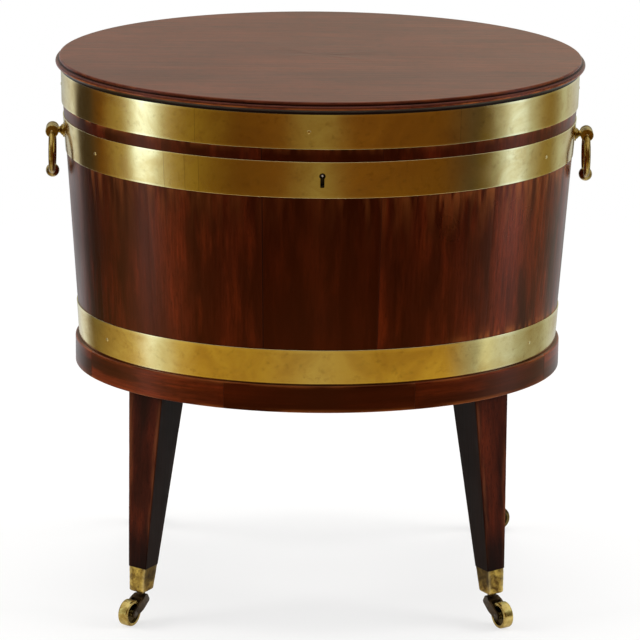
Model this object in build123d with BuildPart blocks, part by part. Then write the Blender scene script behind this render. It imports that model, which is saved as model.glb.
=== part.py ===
"""Oval brass-bound mahogany wine cooler with a hinged lid, on four castored legs.

Millimetres, +Z up. The origin is on the floor below the middle of the oval.
-Y is the front, where the keyhole is, and the lid is hinged along the back.
"""

from math import cos, radians, sin
import os

from build123d import *

os.makedirs("parts", exist_ok=True)

# Oval plan: every level is an ellipse whose half depth is this much less than its half width
oval_difference = 90.0

# Turns, in degrees
full_turn = 360.0
half_turn = full_turn / 2

# Heights, from the floor up
castor_height = 38.8
cup_height = 31.5
leg_height = 222.2
frame_height = 34.5
body_height = 303.2
lid_gap = 0.6
lid_rim_height = 43.7
lid_board_thickness = 15.5

# Coopered wall of the tub, set in from the lid's edge and leaning inwards as it goes down
rim_inset = 9.0
wall_taper = 0.0655
wall_thickness = 18.0
stave_joint_angles = [14.0, 42.0, 61.5, 80.5]

# Coopered rim of the lid, set in from the lid's edge
lid_rim_inset = 7.7
lid_rim_taper = 0.018

# Floor board let into a groove round the inside of the staves
floor_thickness = 14.0
floor_groove_depth = 6.0
floor_groove_above_foot = 12.0

# Sheet lead lining, let in flush with the inside of the wall
lining_thickness = 2.5
lining_height = 221.0

# Brass bands
band_thickness = 1.2
lower_band_height = 45.0
lower_band_clearance = 0.3
middle_band_height = 45.8
middle_band_below_rim = 15.5
lid_band_height = 43.3
lid_band_clearance = 0.2

# Lid board with its moulded edge
lid_half_width = 330.0
edge_ledge_width = 4.2
edge_ledge_height = 4.6
edge_bead_radius = 2.9
edge_neck_width = 5.8
edge_fillet_height = 1.3
edge_cove_radius = 5.0
edge_rounding = 2.0

# Oval base frame that carries the tub and stands proud of it
frame_ledge = 5.86
frame_width = 62.0
frame_edge_radius = 4.0
frame_rebate_depth = 8.0
frame_joint_angles = [22.5, 67.5]

# Legs: square, tapered, leaning outwards, each turned to face along the oval
leg_turn = 35.0
leg_inset_x = 106.6
leg_inset_y = 91.0
leg_splay_x = 16.9
leg_splay_y = 31.7
leg_top_width = 51.2
leg_foot_width = 26.4
leg_arris = 1.2
tenon_width = 22.0
tenon_length = 20.0

# Brass castor cups on the feet
cup_top_width = 25.6
cup_bottom_width = 21.6
cup_wall = 1.6
cup_floor = 3.0
cup_arris = 0.9
cup_bottom_chamfer = 1.3

# Castors
pivot_radius = 2.5
pivot_head_radius = 4.0
pivot_head_height = 1.6
pivot_head_clearance = 0.4
running_clearance = 0.05
collar_radius = 4.75
collar_height = 5.0
collar_gap = 0.4
castor_trail = 26.0
wheel_radius = 16.5
wheel_width = 13.0
wheel_edge_radius = 3.6
wheel_dish_radius = 12.3
wheel_dish_depth = 2.6
wheel_hub_radius = 4.6
wheel_side_gap = 0.6
wheel_well_gap = 2.1
cheek_thickness = 2.6
cheek_eye_radius = 5.2
crown_corner_radius = 2.5
crown_front = 9.0
crown_half_width = 5.0
elbow_reach = 7.0
elbow_drop = 9.0
pivot_end_drop = 13.0
axle_radius = 2.0
axle_head_radius = 3.2
axle_head_height = 1.1

# Which way each castor trails at rest, in degrees round from +X
castor_bearings = {
    "front_left": 237.0,
    "front_right": 300.0,
    "back_left": 120.0,
    "back_right": 14.0,
}

# Ring handles
handle_below_rim = 38.7
handle_standoff = 15.0
handle_eye_radius = 8.2
handle_tongue_width = 8.0
handle_eye_width = 6.6
handle_side_gap = 0.3
handle_pin_radius = 1.6
handle_pin_proud = 0.6
ring_radius = 25.5
ring_drop = 27.0
ring_arm_radius = 4.0
ring_swell_radius = 8.5
ring_swell_length = 22.0
ring_end_angle = 160.0
rose_radius = 9.5
rose_edge_thickness = 1.4
rose_bead_radius = 7.0
rose_thickness = 5.4
neck_inset = 0.1
shank_radius = 4.0
shank_end_length = 2.0
nut_width = 14.0
nut_thickness = 4.0

# Keyhole and box lock
keyhole_below_rim = 38.4
keyhole_height = 18.5
keyhole_round_radius = 3.9
keyhole_slot_width = 5.0
keyhole_corner_radius = 1.0
lock_width = 60.0
lock_thickness = 11.0
lock_height = 46.0
lock_wall = 1.5
lock_cover = 6.5
lock_plate_width = 72.0
lock_plate_depth = 12.0
lock_plate_thickness = 2.0
drill_pin_radius = 1.3
drill_pin_inset = 1.0
staple_spacing = 26.0
staple_thickness = 3.0
staple_depth = 6.6
staple_drop = 13.0
staple_eye_width = 3.8
staple_eye_height = 5.0
staple_bar = 2.0
staple_clearance = 0.8
bolt_throw = 6.0
bolt_bar_height = 6.0
bolt_bar_end = 7.0
bolt_post_width = 4.0
bolt_thickness = 2.6
bolt_finger_height = 3.0
bolt_clearance = 0.3
rail_height = 1.5

# Butt hinges at the back
hinge_spot_x = 40.0
hinge_length = 44.0
hinge_leaf_thickness = 2.0
hinge_leaf_width = 19.0
hinge_axis_behind_rim = 2.0
hinge_knuckle_radius = 3.6
hinge_pin_radius = 1.7
hinge_knuckle_gap = 0.3
hinge_clearance = 0.3
hinge_knuckles = 5
hinge_stop_angle = 10.0
hinge_stop_reach = 6.8
hinge_stop_width = 4.2

# Screws with countersunk heads
screw_head_radius = 3.0
screw_head_height = 2.0
screw_shank_radius = 1.4
screw_length = 9.0
hinge_screw_inset = 7.0
hinge_screw_spacing = 14.0
plate_screw_inset = 4.2

# Round-headed brass pins through the bands
band_pin_head_radius = 2.2
band_pin_crown_radius = 1.3
band_pin_head_height = 0.5
band_pin_shank_radius = 1.0
band_pin_length = 5.0
lid_band_pin_angles = [-3.0, 88.0, 177.0, 183.0, 272.0]
body_band_pin_angles = [-60.0, 60.0, 176.5, 183.5]

# Drain cock under the floor
drain_bore_radius = 5.0
drain_tube_radius = 8.0
drain_flange_radius = 16.0
drain_flange_thickness = 1.6
drain_nut_width = 28.0
drain_nut_thickness = 6.0
drain_drop = 78.0
cock_drop = 34.0
cock_barrel_radius = 11.0
cock_barrel_length = 26.0
cock_plug_radius = 7.0
cock_stem_radius = 3.6
cock_stem_length = 9.0
cock_handle_radius = 2.6
cock_handle_length = 34.0
cock_washer_radius = 9.5
cock_washer_thickness = 2.0
cock_washer_gap = 0.3
cock_tail_radius = 2.5

# Levels worked out from the heights
leg_level = castor_height + cup_height
frame_level = leg_level + leg_height
frame_top = frame_level + frame_height
rim_level = frame_top + body_height
lid_level = rim_level + lid_gap
board_level = lid_level + lid_rim_height
top_level = board_level + lid_board_thickness
stave_foot = frame_top - frame_rebate_depth
floor_level = stave_foot + floor_groove_above_foot
lining_level = floor_level + floor_thickness
lining_top = lining_level + lining_height
middle_band_top = rim_level - middle_band_below_rim
middle_band_foot = middle_band_top - middle_band_height
lower_band_foot = frame_top + lower_band_clearance
lower_band_top = lower_band_foot + lower_band_height
lid_band_top = board_level - lid_band_clearance
lid_band_foot = lid_band_top - lid_band_height
handle_level = rim_level - handle_below_rim
keyhole_level = rim_level - keyhole_below_rim
hinge_level = rim_level + lid_gap / 2
rim_half_width = lid_half_width - rim_inset
lid_rim_half_width = lid_half_width - lid_rim_inset
frame_half_width = rim_half_width - wall_taper * body_height + frame_ledge
leg_top_x = frame_half_width - leg_inset_x
leg_top_y = frame_half_width - oval_difference - leg_inset_y
leg_foot_x = leg_top_x + leg_splay_x
leg_foot_y = leg_top_y + leg_splay_y
rim_half_depth = rim_half_width - oval_difference
hinge_axis_y = rim_half_depth + hinge_axis_behind_rim
hinge_leaf_inner_y = hinge_axis_y - hinge_leaf_width
lock_y = -(rim_half_depth - lock_cover - lock_thickness / 2)
neck_radius = handle_tongue_width / 2 - neck_inset


def save(shape, name):
    """Label a finished piece and write it to its own file."""
    shape.label = name
    export_step(shape, f"parts/{name}.step")


def group(parts):
    """Several separate solids that are kept together as one piece."""
    return Compound([part.solid() for part in parts])


def wall_half_width(level):
    """Outer half width of the tub's wall at a level."""
    return rim_half_width - wall_taper * (rim_level - level)


def lid_half_width_at(level):
    """Outer half width of the lid's rim at a level."""
    return lid_rim_half_width - lid_rim_taper * (board_level - level)


def oval_drum(low, high, low_half_width, high_half_width):
    """Solid oval drum between two levels, leaning by the same amount all round."""
    with BuildPart() as drum:
        with BuildSketch(Plane.XY.offset(low)):
            Ellipse(low_half_width, low_half_width - oval_difference)
        with BuildSketch(Plane.XY.offset(high)):
            Ellipse(high_half_width, high_half_width - oval_difference)
        loft(ruled=True)
    return drum.part


def wall_drum(low, high, inset):
    """Solid drum that follows the tub's outer wall, this much inside it."""
    return oval_drum(low, high, wall_half_width(low) - inset, wall_half_width(high) - inset)


def lid_drum(low, high, inset):
    """Solid drum that follows the lid's rim, this much inside it."""
    return oval_drum(low, high, lid_half_width_at(low) - inset, lid_half_width_at(high) - inset)


def shell(outside, inside, cutters):
    """What is left of one drum when another and the cutters are taken out of it."""
    with BuildPart() as ring:
        add(outside)
        add(inside, mode=Mode.SUBTRACT)
        for cutter in cutters:
            add(cutter, mode=Mode.SUBTRACT)
    return ring.part


def oval_point(half_width, angle):
    """Point on an oval of this half width, at an angle round from the front."""
    turn = radians(angle)
    return half_width * sin(turn), -(half_width - oval_difference) * cos(turn)


def oval_tangent(half_width, angle):
    """Direction along the oval at that point, towards growing angles."""
    turn = radians(angle)
    return Vector(half_width * cos(turn), (half_width - oval_difference) * sin(turn), 0).normalized()


def joint_plane(half_width, angle):
    """Upright plane through the wall, square to the oval."""
    x, y = oval_point(half_width, angle)
    return Plane(origin=(x, y, 0), z_dir=oval_tangent(half_width, angle))


def all_round(angles):
    """The same joints in all four quarters, in order round the oval."""
    behind = [half_turn - angle for angle in angles]
    return sorted(angles + behind + [full_turn - angle for angle in angles + behind])


def cut_round(ring, angles, half_width):
    """Cut a ring into the separate pieces that lie between its joints."""
    pieces = []
    for start, end in zip(angles, angles[1:] + angles[:1]):
        outwards = Vector(*oval_point(half_width, start)) + Vector(*oval_point(half_width, end))
        with BuildPart() as piece:
            add(ring)
            split(bisect_by=Plane(origin=(0, 0, 0), z_dir=outwards), keep=Keep.TOP)
            split(bisect_by=joint_plane(half_width, start), keep=Keep.TOP)
            split(bisect_by=joint_plane(half_width, end), keep=Keep.BOTTOM)
        pieces.append(piece.part)
    return pieces


def screw(x, y, level, pointing):
    """Countersunk screw with its head at this level, pointing up (1) or down (-1)."""
    head = Plane(origin=(x, y, level), z_dir=(0, 0, pointing))
    with BuildPart() as fastener:
        with BuildSketch(head):
            Circle(screw_head_radius)
        with BuildSketch(head.offset(screw_head_height)):
            Circle(screw_shank_radius)
        loft(ruled=True)
        with BuildSketch(head):
            Circle(screw_shank_radius)
        extrude(amount=screw_length)
    return fastener.part


def band_pin(half_width, angle, level):
    """Round-headed pin driven square through a band into the wood behind it."""
    x, y = oval_point(half_width, angle)
    seat = Plane(origin=(x, y, level), z_dir=oval_tangent(half_width, angle).cross(Vector(0, 0, 1)))
    with BuildPart() as pin:
        with BuildSketch(seat):
            Circle(band_pin_head_radius)
        with BuildSketch(seat.offset(band_pin_head_height)):
            Circle(band_pin_crown_radius)
        loft(ruled=True)
        with BuildSketch(seat):
            Circle(band_pin_shank_radius)
        extrude(amount=-band_pin_length)
    return pin.part


def placed(shape, x, y, turn):
    """Copy of a piece made at the origin, turned about the upright and moved."""
    with BuildPart() as copy:
        with Locations(Location((x, y, 0), (0, 0, turn))):
            add(shape)
    return copy.part


# Fasteners, made first because what they pass through is cut with them
body_hinge_screws = []
lid_hinge_screws = []
for spot in (-hinge_spot_x, hinge_spot_x):
    for step in (-1, 0, 1):
        screw_x = spot + step * hinge_screw_spacing
        screw_y = hinge_leaf_inner_y + hinge_screw_inset
        body_hinge_screws.append(screw(screw_x, screw_y, rim_level, -1))
        lid_hinge_screws.append(screw(screw_x, screw_y, lid_level, 1))

plate_screw_x = lock_plate_width / 2 - plate_screw_inset
lock_screws = [screw(side * plate_screw_x, lock_y, rim_level, -1) for side in (-1, 1)]
link_screws = [screw(side * plate_screw_x, lock_y, lid_level, 1) for side in (-1, 1)]

lid_pin_level = (lid_band_foot + lid_band_top) / 2
lid_band_pins = [
    band_pin(lid_half_width_at(lid_pin_level) + band_thickness, angle, lid_pin_level)
    for angle in lid_band_pin_angles
]
body_band_pins = [
    band_pin(wall_half_width(level) + band_thickness, angle, level)
    for level in ((middle_band_foot + middle_band_top) / 2, (lower_band_foot + lower_band_top) / 2)
    for angle in body_band_pin_angles
]

# Keyhole, cut through the band, the wall and the front of the lock's case
keyhole_round_level = keyhole_level + keyhole_height / 2 - keyhole_round_radius
keyhole_slot_length = keyhole_height - keyhole_round_radius
with BuildPart() as keyhole:
    with BuildSketch(Plane.XZ.offset(lock_thickness / 2 - lock_wall - lock_y)) as keyhole_outline:
        with Locations((0, keyhole_round_level)):
            Circle(keyhole_round_radius)
        with Locations((0, keyhole_round_level - keyhole_slot_length / 2)):
            Rectangle(keyhole_slot_width, keyhole_slot_length)
        fillet(keyhole_outline.vertices().group_by(Axis.Y)[0], keyhole_corner_radius)
    extrude(amount=lock_cover + lock_thickness)

# Pocket for the lock, open to the inside of the wall, and the recess for its plate
lock_foot = rim_level - lock_plate_thickness - lock_height
lock_front = lock_y - lock_thickness / 2
with BuildPart() as lock_pocket:
    with BuildSketch(Plane.XY.offset(lock_foot)):
        with Locations((0, lock_front)):
            Rectangle(lock_width, 2 * lock_thickness, align=(Align.CENTER, Align.MIN))
    extrude(amount=lock_height)
    with BuildSketch(Plane.XY.offset(rim_level - lock_plate_thickness)):
        with Locations((0, lock_y)):
            Rectangle(lock_plate_width, lock_plate_depth)
    extrude(amount=2 * lock_plate_thickness)

# Recess in the lid's rim for the link plate
with BuildPart() as link_recess:
    with BuildSketch(Plane.XY.offset(lid_level + lock_plate_thickness)):
        with Locations((0, lock_y)):
            Rectangle(lock_plate_width, lock_plate_depth)
    extrude(amount=-2 * lock_plate_thickness)

# Recesses for the hinge leaves, and the round notch that the knuckles lie in
with BuildPart() as hinge_recesses:
    for spot in (-hinge_spot_x, hinge_spot_x):
        with BuildSketch(Plane.XY.offset(rim_level - hinge_leaf_thickness)):
            with Locations((spot, hinge_leaf_inner_y + hinge_leaf_width / 2)):
                Rectangle(hinge_length, hinge_leaf_width)
        extrude(amount=2 * hinge_leaf_thickness + lid_gap)
        with BuildSketch(Plane.YZ.offset(spot - hinge_length / 2 - hinge_clearance)):
            with Locations((hinge_axis_y, hinge_level)):
                Circle(hinge_knuckle_radius + hinge_clearance)
        extrude(amount=hinge_length + 2 * hinge_clearance)

# Holes for the handles' shanks
pivot_x = wall_half_width(handle_level) + band_thickness + handle_standoff
with BuildPart() as shank_holes:
    with BuildSketch(Plane.YZ.offset(-pivot_x)):
        with Locations((0, handle_level)):
            Circle(shank_radius)
    extrude(amount=2 * pivot_x)

# Tub: leaning staves, grooved for the floor and rebated for the lining
tub_inside = wall_drum(stave_foot, rim_level, wall_thickness)
lining_space = wall_drum(lining_level, lining_top, wall_thickness - lining_thickness)
floor_space = wall_drum(floor_level, lining_level, wall_thickness - floor_groove_depth)
tub_cutters = [lining_space, floor_space, lock_pocket.part, keyhole.part, hinge_recesses.part]
tub_cutters += [shank_holes.part] + lock_screws + body_hinge_screws + body_band_pins
tub_wall = shell(wall_drum(stave_foot, rim_level, 0), tub_inside, tub_cutters)
stave_joints = all_round(stave_joint_angles)
save(group(cut_round(tub_wall, stave_joints, wall_half_width(stave_foot))), "body_staves")

# Floor board and lining, with the hole for the drain
with BuildPart() as drain_hole:
    with BuildSketch(Plane.XY.offset(floor_level)):
        Circle(drain_tube_radius)
    extrude(amount=floor_thickness + lining_thickness)

with BuildPart() as floor_board:
    add(floor_space)
    add(drain_hole.part, mode=Mode.SUBTRACT)
save(floor_board.part, "floor_board")

lining_inside = wall_drum(lining_level + lining_thickness, lining_top, wall_thickness)
save(shell(lining_space, lining_inside, [drain_hole.part]), "lead_lining")

# Brass hoops driven on to the wall
middle_band_outside = wall_drum(middle_band_foot, middle_band_top, -band_thickness)
middle_band_inside = wall_drum(middle_band_foot, middle_band_top, 0)
middle_cutters = [keyhole.part, shank_holes.part] + body_band_pins
save(shell(middle_band_outside, middle_band_inside, middle_cutters), "middle_band")

lower_band_outside = wall_drum(lower_band_foot, lower_band_top, -band_thickness)
lower_band_inside = wall_drum(lower_band_foot, lower_band_top, 0)
save(shell(lower_band_outside, lower_band_inside, body_band_pins), "lower_band")
save(group(body_band_pins), "body_band_pins")

# Lid: coopered rim and its brass band
lid_rim_inside = lid_drum(lid_level, board_level, wall_thickness)
lid_cutters = [link_recess.part, hinge_recesses.part] + link_screws + lid_hinge_screws + lid_band_pins
lid_wall = shell(lid_drum(lid_level, board_level, 0), lid_rim_inside, lid_cutters)
save(group(cut_round(lid_wall, stave_joints, lid_half_width_at(lid_level))), "lid_rim")

lid_band_outside = lid_drum(lid_band_foot, lid_band_top, -band_thickness)
lid_band_inside = lid_drum(lid_band_foot, lid_band_top, 0)
save(shell(lid_band_outside, lid_band_inside, [hinge_recesses.part] + lid_band_pins), "lid_band")
save(group(lid_band_pins), "lid_band_pins")

# Lid board. Its edge from the underside up: fillet, cove, bead, quirk, rounded top
neck_x = lid_half_width - edge_neck_width
bead_x = lid_half_width - edge_bead_radius
ledge_x = lid_half_width - edge_ledge_width
ledge_level = top_level - edge_ledge_height
bead_foot = ledge_level - 2 * edge_bead_radius
with BuildPart() as lid_board:
    with BuildSketch(Plane.XY.offset(board_level)):
        Ellipse(lid_half_width, lid_half_width - oval_difference)
    extrude(amount=lid_board_thickness)
    with BuildSketch(Plane.XZ):
        with BuildLine():
            fillet_edge = Line((neck_x, board_level), (neck_x, board_level + edge_fillet_height))
            cove = RadiusArc(fillet_edge @ 1, (bead_x, bead_foot), edge_cove_radius)
            bead = RadiusArc(cove @ 1, (bead_x, ledge_level), -edge_bead_radius)
            quirk = Line(bead @ 1, (ledge_x, ledge_level))
            ledge = Line(quirk @ 1, (ledge_x, top_level - edge_rounding))
            rounding = RadiusArc(ledge @ 1, (ledge_x - edge_rounding, top_level), -edge_rounding)
            outside = lid_half_width + edge_neck_width
            Polyline(rounding @ 1, (outside, top_level), (outside, board_level), fillet_edge @ 0)
        make_face()
    with BuildLine(Plane.XY.offset(board_level)) as edge_path:
        EllipticalCenterArc((0, 0), lid_half_width, lid_half_width - oval_difference, arc_size=full_turn)
    sweep(path=edge_path.line, mode=Mode.SUBTRACT)
save(lid_board.part, "lid_top")

# Base frame: eight pieces round the oval, rebated on top for the foot of the tub
frame_inner = frame_half_width - frame_width
with BuildPart() as frame_blank:
    add(oval_drum(frame_level, frame_top, frame_half_width, frame_half_width))
    fillet(frame_blank.faces().sort_by(Axis.Z)[-1].edges(), frame_edge_radius)


def leg_square(corner, level, width, arris):
    """Sketch of a leg's section at a level: a square on the leg's line, turned to the oval."""
    side, end = corner
    along = (frame_level - level) / leg_height
    x = side * (leg_top_x + (leg_foot_x - leg_top_x) * along)
    y = end * (leg_top_y + (leg_foot_y - leg_top_y) * along)
    with BuildSketch(Plane.XY.offset(level)) as section:
        with Locations(Location((x, y, 0), (0, 0, side * end * (90 - leg_turn)))):
            Rectangle(width, width)
        if arris > 0:
            chamfer(section.vertices(), arris)
    return section.sketch


def leg_block(corner, levels, widths, arris):
    """Straight-sided block on a leg's line between two levels."""
    with BuildPart() as block:
        add(leg_square(corner, levels[0], widths[0], arris))
        add(leg_square(corner, levels[1], widths[1], arris))
        loft(ruled=True)
    return block.part


def cup_width(level):
    """Outer width of a castor cup at a level."""
    return cup_bottom_width + (cup_top_width - cup_bottom_width) * (level - castor_height) / cup_height


corners = {"front_left": (-1, -1), "front_right": (1, -1), "back_left": (-1, 1), "back_right": (1, 1)}
cup_floor_level = castor_height + cup_floor
cup_levels = (castor_height, leg_level)
socket_levels = (cup_floor_level, leg_level)
socket_widths = [cup_width(level) - 2 * cup_wall for level in socket_levels]
lean_below_leg = cup_height / leg_height
pivot_distance_x = leg_foot_x + (leg_foot_x - leg_top_x) * lean_below_leg
pivot_distance_y = leg_foot_y + (leg_foot_y - leg_top_y) * lean_below_leg

# Pivot on which a castor swivels, riveted into the floor of its cup
pivot_end_level = castor_height - collar_height - pivot_end_drop
with BuildPart() as castor_pivot:
    with BuildSketch(Plane.XY.offset(pivot_end_level)):
        Circle(pivot_radius)
    extrude(amount=cup_floor_level - pivot_end_level)
    for level in (pivot_end_level, cup_floor_level):
        with BuildSketch(Plane.XY.offset(level)):
            Circle(pivot_head_radius)
        extrude(amount=pivot_head_height)

tenons = []
castor_pivots = []
for name, corner in corners.items():
    pivot_place = (corner[0] * pivot_distance_x, corner[1] * pivot_distance_y)
    pivot = placed(castor_pivot.part, *pivot_place, 0)
    castor_pivots.append(pivot)
    tenon_levels = (frame_level, frame_level + tenon_length)
    tenon = leg_block(corner, tenon_levels, (tenon_width, tenon_width), 0)
    tenons.append(tenon)

    with BuildPart() as leg:
        add(leg_block(corner, (leg_level, frame_level), (leg_foot_width, leg_top_width), leg_arris))
        add(tenon)
        add(leg_block(corner, socket_levels, socket_widths, 0))
        with BuildSketch(Plane.XY.offset(cup_floor_level)):
            with Locations(pivot_place):
                Circle(pivot_head_radius)
        extrude(amount=pivot_head_height, mode=Mode.SUBTRACT)
    save(leg.part, f"leg_{name}")

    with BuildPart() as cup:
        add(leg_block(corner, cup_levels, (cup_bottom_width, cup_top_width), cup_arris))
        chamfer(cup.faces().sort_by(Axis.Z)[0].edges(), cup_bottom_chamfer)
        add(leg_block(corner, socket_levels, socket_widths, 0), mode=Mode.SUBTRACT)
        add(pivot, mode=Mode.SUBTRACT)
    save(cup.part, f"castor_cup_{name}")
save(group(castor_pivots), "castor_pivots")

frame_hole = oval_drum(frame_level, frame_top, frame_inner, frame_inner)
tub_seat = wall_drum(stave_foot, frame_top, 0)
base_frame = shell(frame_blank.part, frame_hole, [tub_seat] + tenons)
save(group(cut_round(base_frame, all_round(frame_joint_angles), frame_half_width)), "base_frame")

# One castor, made at the origin and trailing towards +X
crown_level = castor_height - collar_height
cheek_inner = wheel_width / 2 + wheel_side_gap
cheek_outer = cheek_inner + cheek_thickness
well_radius = wheel_radius + wheel_well_gap
with BuildPart() as castor_fork:
    with BuildSketch(Plane.XZ):
        with Locations((castor_trail, wheel_radius)):
            Circle(cheek_eye_radius)
        with Locations(
            (crown_corner_radius - collar_radius, crown_level - crown_corner_radius),
            (collar_radius - crown_corner_radius, crown_level - crown_corner_radius),
            (-elbow_reach, crown_level - elbow_drop),
        ):
            Circle(crown_corner_radius)
        make_hull()
    extrude(amount=cheek_outer, both=True)
    with BuildSketch(Plane.XY):
        with BuildLine():
            Polyline(
                (-2 * elbow_reach, -crown_half_width),
                (crown_front, -cheek_outer),
                (2 * castor_trail, -cheek_outer),
                (2 * castor_trail, cheek_outer),
                (crown_front, cheek_outer),
                (-2 * elbow_reach, crown_half_width),
                close=True,
            )
        make_face()
    extrude(amount=castor_height, mode=Mode.INTERSECT)
    with BuildSketch(Plane.XZ):
        with Locations((castor_trail, wheel_radius)):
            Circle(well_radius)
        with Locations((crown_front, 0)):
            Rectangle(2 * castor_trail, castor_height, align=(Align.MIN, Align.MIN))
    extrude(amount=cheek_inner, both=True, mode=Mode.SUBTRACT)
    with BuildSketch(Plane.XZ):
        with Locations((castor_trail, wheel_radius)):
            Circle(axle_radius)
    extrude(amount=cheek_outer, both=True, mode=Mode.SUBTRACT)
    with BuildSketch(Plane.XY.offset(crown_level)):
        Circle(collar_radius)
    extrude(amount=collar_height - collar_gap)
    with BuildSketch():
        Circle(pivot_radius + running_clearance)
    extrude(amount=castor_height, mode=Mode.SUBTRACT)
    with BuildSketch():
        Circle(pivot_head_radius + pivot_head_clearance)
    extrude(amount=pivot_end_level + pivot_head_height + pivot_head_clearance, mode=Mode.SUBTRACT)

with BuildPart() as castor_axle:
    with BuildSketch(Plane.XZ):
        with Locations((castor_trail, wheel_radius)):
            Circle(axle_radius)
    extrude(amount=cheek_outer, both=True)
    for outwards in (-1, 1):
        end_plane = Plane(origin=(castor_trail, outwards * cheek_outer, wheel_radius), z_dir=(0, outwards, 0))
        with BuildSketch(end_plane):
            Circle(axle_head_radius)
        with BuildSketch(end_plane.offset(axle_head_height)):
            Circle(axle_radius)
        loft(ruled=True)

with BuildPart() as castor_wheel:
    with BuildSketch(Plane.YZ.offset(castor_trail)) as wheel_section:
        with Locations((0, wheel_radius)):
            Rectangle(wheel_width, wheel_radius, align=(Align.CENTER, Align.MIN))
        fillet(wheel_section.vertices().group_by(Axis.Y)[-1], wheel_edge_radius)
        for outwards in (-1, 1):
            with Locations((outwards * wheel_width / 2, wheel_radius + wheel_hub_radius)):
                Rectangle(
                    2 * wheel_dish_depth,
                    wheel_dish_radius - wheel_hub_radius,
                    align=(Align.CENTER, Align.MIN),
                    mode=Mode.SUBTRACT,
                )
        with Locations((0, wheel_radius)):
            Rectangle(
                wheel_width,
                axle_radius + running_clearance,
                align=(Align.CENTER, Align.MIN),
                mode=Mode.SUBTRACT,
            )
    revolve(axis=Axis((castor_trail, 0, wheel_radius), (0, 1, 0)))

for name, corner in corners.items():
    pivot_place = (corner[0] * pivot_distance_x, corner[1] * pivot_distance_y)
    save(placed(castor_fork.part, *pivot_place, castor_bearings[name]), f"castor_fork_{name}")
    save(placed(castor_axle.part, *pivot_place, castor_bearings[name]), f"castor_axle_{name}")
    save(placed(castor_wheel.part, *pivot_place, castor_bearings[name]), f"castor_wheel_{name}")

# Handle on the right: rose, neck and tongue in one piece with the shank through the wall
band_surface = pivot_x - handle_standoff
wall_inner_surface = wall_half_width(handle_level) - wall_thickness
handle_axis = Axis((0, 0, handle_level), (1, 0, 0))
pivot_plane = Plane.XZ.offset(-handle_tongue_width / 2)
with BuildPart() as handle_post:
    with BuildSketch(Plane.XZ):
        with BuildLine():
            rose_foot = band_surface - rose_edge_thickness
            rim_line = Polyline(
                (rose_foot, handle_level),
                (rose_foot, handle_level + rose_radius),
                (band_surface + rose_edge_thickness, handle_level + rose_radius),
                (band_surface + rose_edge_thickness, handle_level + rose_bead_radius),
            )
            dome_end = (band_surface + rose_thickness, handle_level + neck_radius)
            dome = RadiusArc(rim_line @ 1, dome_end, rose_bead_radius / 2)
            Polyline(dome @ 1, (band_surface + rose_thickness, handle_level), rim_line @ 0)
        make_face()
    revolve(axis=handle_axis)
    add(middle_band_outside, mode=Mode.SUBTRACT)
    with BuildSketch(Plane.YZ.offset(band_surface + rose_thickness)):
        with Locations((0, handle_level)):
            Circle(neck_radius)
    extrude(amount=handle_standoff - rose_thickness)
    with BuildSketch(pivot_plane):
        with Locations((pivot_x, handle_level)):
            Circle(handle_eye_radius)
    extrude(amount=handle_tongue_width)
    shank_end = wall_inner_surface - nut_thickness - shank_end_length
    with BuildSketch(Plane.YZ.offset(shank_end)):
        with Locations((0, handle_level)):
            Circle(shank_radius)
    extrude(amount=band_surface + rose_thickness - shank_end)
    with BuildSketch(pivot_plane):
        with Locations((pivot_x, handle_level)):
            Circle(handle_pin_radius)
    extrude(amount=handle_tongue_width, mode=Mode.SUBTRACT)

# Nut against the inside of the wall
with BuildPart() as handle_nut:
    with BuildSketch(Plane.YZ.offset(wall_inner_surface - nut_thickness)):
        with Locations((0, handle_level)):
            RegularPolygon(nut_width / 2, 6, major_radius=False)
            Circle(shank_radius, mode=Mode.SUBTRACT)
    extrude(amount=2 * nut_thickness)
    add(tub_inside, mode=Mode.INTERSECT)

# Pin through the tongue and the ring's two eyes
eye_inner = handle_tongue_width / 2 + handle_side_gap
eye_outer = eye_inner + handle_eye_width
with BuildPart() as handle_pin:
    with BuildSketch(Plane.XZ):
        with Locations((pivot_x, handle_level)):
            Circle(handle_pin_radius)
    extrude(amount=eye_outer + handle_pin_proud, both=True)

# Ring that hangs from the pin, with a swelling at the grip
ring_centre_level = handle_level - ring_drop
with BuildPart() as handle_ring:
    with BuildLine(Plane.YZ.offset(pivot_x)) as ring_line:
        CenterArc((0, ring_centre_level), ring_radius, -90 - ring_end_angle, 2 * ring_end_angle)
    with BuildSketch(Plane(origin=ring_line.line @ 0, z_dir=ring_line.line % 0)):
        Circle(ring_arm_radius)
    sweep(path=ring_line.line)
    with BuildSketch(Plane.YZ.offset(pivot_x)):
        with BuildLine():
            grip = (0, ring_centre_level - ring_radius)
            swell = EllipticalCenterArc(grip, ring_swell_length / 2, ring_swell_radius, arc_size=half_turn)
            Line(swell @ 1, swell @ 0)
        make_face()
    revolve(axis=Axis((pivot_x, 0, ring_centre_level - ring_radius), (0, 1, 0)))
    for outwards in (-1, 1):
        eye_plane = Plane(origin=(pivot_x, outwards * eye_inner, handle_level), z_dir=(0, outwards, 0))
        with BuildSketch(eye_plane):
            Circle(handle_eye_radius)
        extrude(amount=handle_eye_width)
    with BuildSketch(Plane.XZ):
        with Locations((pivot_x, handle_level)):
            Circle(handle_pin_radius + running_clearance)
    extrude(amount=eye_outer + ring_arm_radius, both=True, mode=Mode.SUBTRACT)

handle_turns = {"left": half_turn, "right": 0}
for name, turn in handle_turns.items():
    save(placed(handle_post.part, 0, 0, turn), f"handle_post_{name}")
    save(placed(handle_ring.part, 0, 0, turn), f"handle_ring_{name}")
save(group([placed(handle_nut.part, 0, 0, turn) for turn in handle_turns.values()]), "handle_nuts")
save(group([placed(handle_pin.part, 0, 0, turn) for turn in handle_turns.values()]), "handle_pins")

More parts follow.
